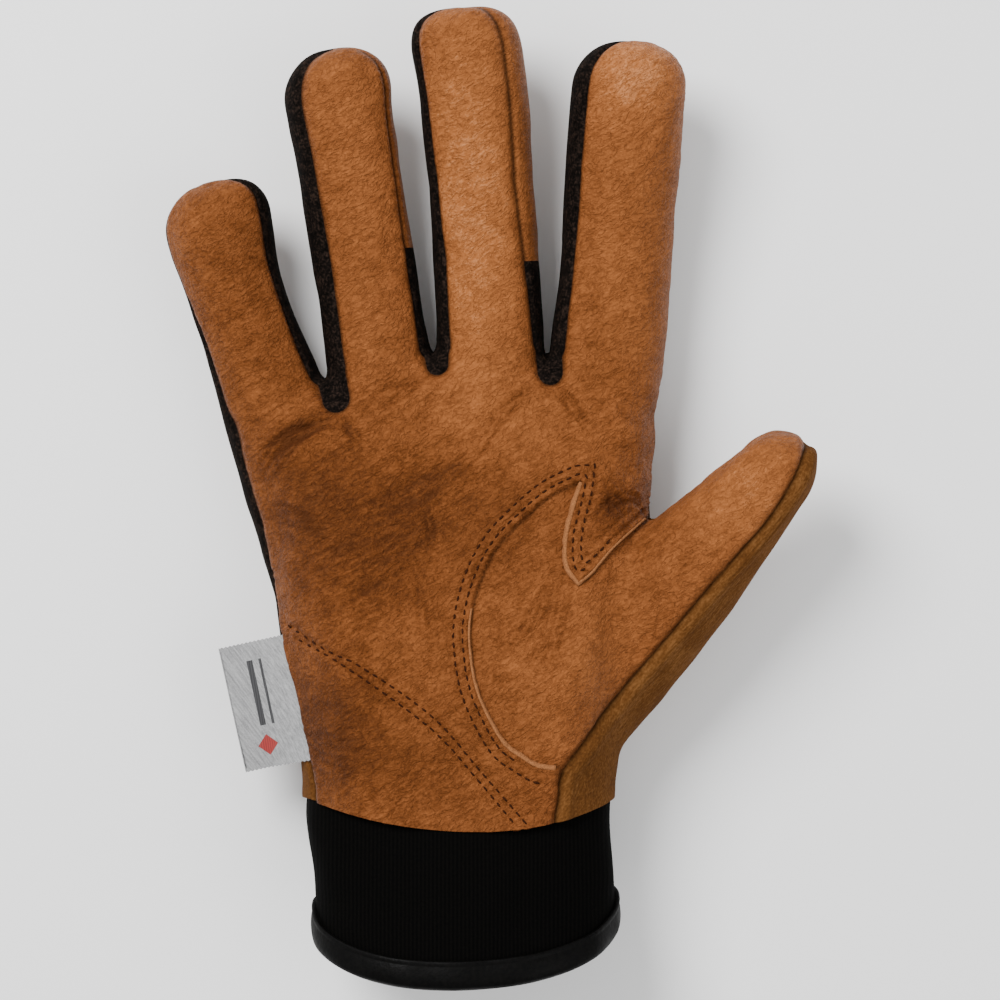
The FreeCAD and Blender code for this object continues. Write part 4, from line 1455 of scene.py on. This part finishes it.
def label_surface(across, along, layer):
    """A point of the label: across from its seam, along it, both in mm, and above or below its middle."""
    turn = math.radians(LABEL_TURN)
    down = np.array([math.sin(turn), -math.cos(turn), 0.0])
    out = np.array([-math.cos(turn), -math.sin(turn), 0.0])
    wave = 0.5 * np.sin(along / 9.0 + 0.6) * (across / LABEL_WIDTH) - 0.5 * (across / LABEL_WIDTH) ** 2
    rise = np.interp(along, *zip(*LABEL_RISE))
    reach, power = LABEL_REACH
    wave = wave + rise * np.clip(1 - (across + 1.0) / reach, 0.0, 1.0) ** power
    place = np.array(LABEL_SEAM) + down * along[..., None] + out * across[..., None]
    return place + np.array([0, 0, 1.0]) * (wave + layer)[..., None]


def build_label():
    """A satin label, folded double at its outer edge, with a plain mark in place of any lettering."""
    half = LABEL_THICK / 2
    turn = np.linspace(0, math.pi, 9)
    across = np.concatenate([
        np.linspace(-1.0, LABEL_WIDTH - half, 34), LABEL_WIDTH - half + half * np.sin(turn),
        np.linspace(LABEL_WIDTH - half, -1.0, 34),
    ])
    layer = np.concatenate([np.full(34, half), half * np.cos(turn), np.full(34, -half)])
    along = np.linspace(-LABEL_LENGTH / 2, LABEL_LENGTH / 2, 60)[None, :] + 0 * across[:, None]
    pinked = 0.16 * (-1.0) ** np.arange(len(across))
    along[:, 0] -= pinked
    along[:, -1] += pinked
    grid = label_surface(across[:, None] + 0 * along, along, layer[:, None] + 0 * along)
    piece = grid_piece("label", grid, MATERIALS["satin"], wrap_around=False)
    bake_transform(piece)
    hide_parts("label")
    marks = [build_mark(*mark) for mark in LABEL_MARKS]


def build_mark(name, look, corners):
    """A patch of woven colour on the label, through its corners."""
    a, b, c, d = (np.array(p, float) for p in corners)
    t = np.linspace(0, 1, 9)
    grid = [[(a * (1 - s) + b * s) * (1 - r) + (d * (1 - s) + c * s) * r for s in t] for r in t]
    grid = np.array(grid)
    points = label_surface(grid[..., 0], grid[..., 1], np.full(grid.shape[:2], LABEL_THICK / 2 + 0.06))
    piece = grid_piece(name, points, MATERIALS[look], wrap_around=False)
    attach(piece, "label")
    return piece


build_lining()
palm_skin, panel_skin = build_skin()
palm_ground = Ground(palm_skin, panel_skin)
build_stitches(palm_ground)
build_raw_edges(palm_ground)
build_cuff()
build_label()


# Stage --------------------------------------------------------------------------------------------


def build_camera():
    data = bpy.data.cameras.new("camera")
    data.sensor_width = 36.0
    data.lens = 149.0
    camera = bpy.data.objects.new("camera", data)
    camera.location = (0.0027, 0.0004, 1.125)
    bpy.context.scene.collection.objects.link(camera)
    bpy.context.scene.camera = camera


def build_light(name, place, size, power, target=(0, 0, 0.02)):
    data = bpy.data.lights.new(name, "AREA")
    data.shape = "DISK"
    data.size = size
    data.energy = power
    light = bpy.data.objects.new(name, data)
    light.location = place
    light.rotation_euler = (Vector(target) - Vector(place)).to_track_quat("-Z", "Y").to_euler()
    bpy.context.scene.collection.objects.link(light)


def build_stage():
    mesh = bpy.data.meshes.new("floor")
    side, level = 3.0, -0.0002
    corners = [(-side, -side, level), (side, -side, level), (side, side, level), (-side, side, level)]
    mesh.from_pydata(corners, [], [(0, 1, 2, 3)])
    material = bpy.data.materials.new("floor")
    material.use_nodes = True
    inputs = material.node_tree.nodes["Principled BSDF"].inputs
    inputs["Base Color"].default_value = (0.97, 0.97, 0.97, 1)
    inputs["Roughness"].default_value = 0.9
    floor = placed("floor", mesh, material)
    world = bpy.data.worlds.new("studio")
    world.use_nodes = True
    world.node_tree.nodes["Background"].inputs["Color"].default_value = (1, 1, 1, 1)
    world.node_tree.nodes["Background"].inputs["Strength"].default_value = 0.8
    bpy.context.scene.world = world
    build_light("key", (-0.48, 0.52, 0.92), 0.6, 20.0)
    build_light("fill", (0.7, -0.3, 0.9), 0.9, 4.0)


build_camera()
build_stage()
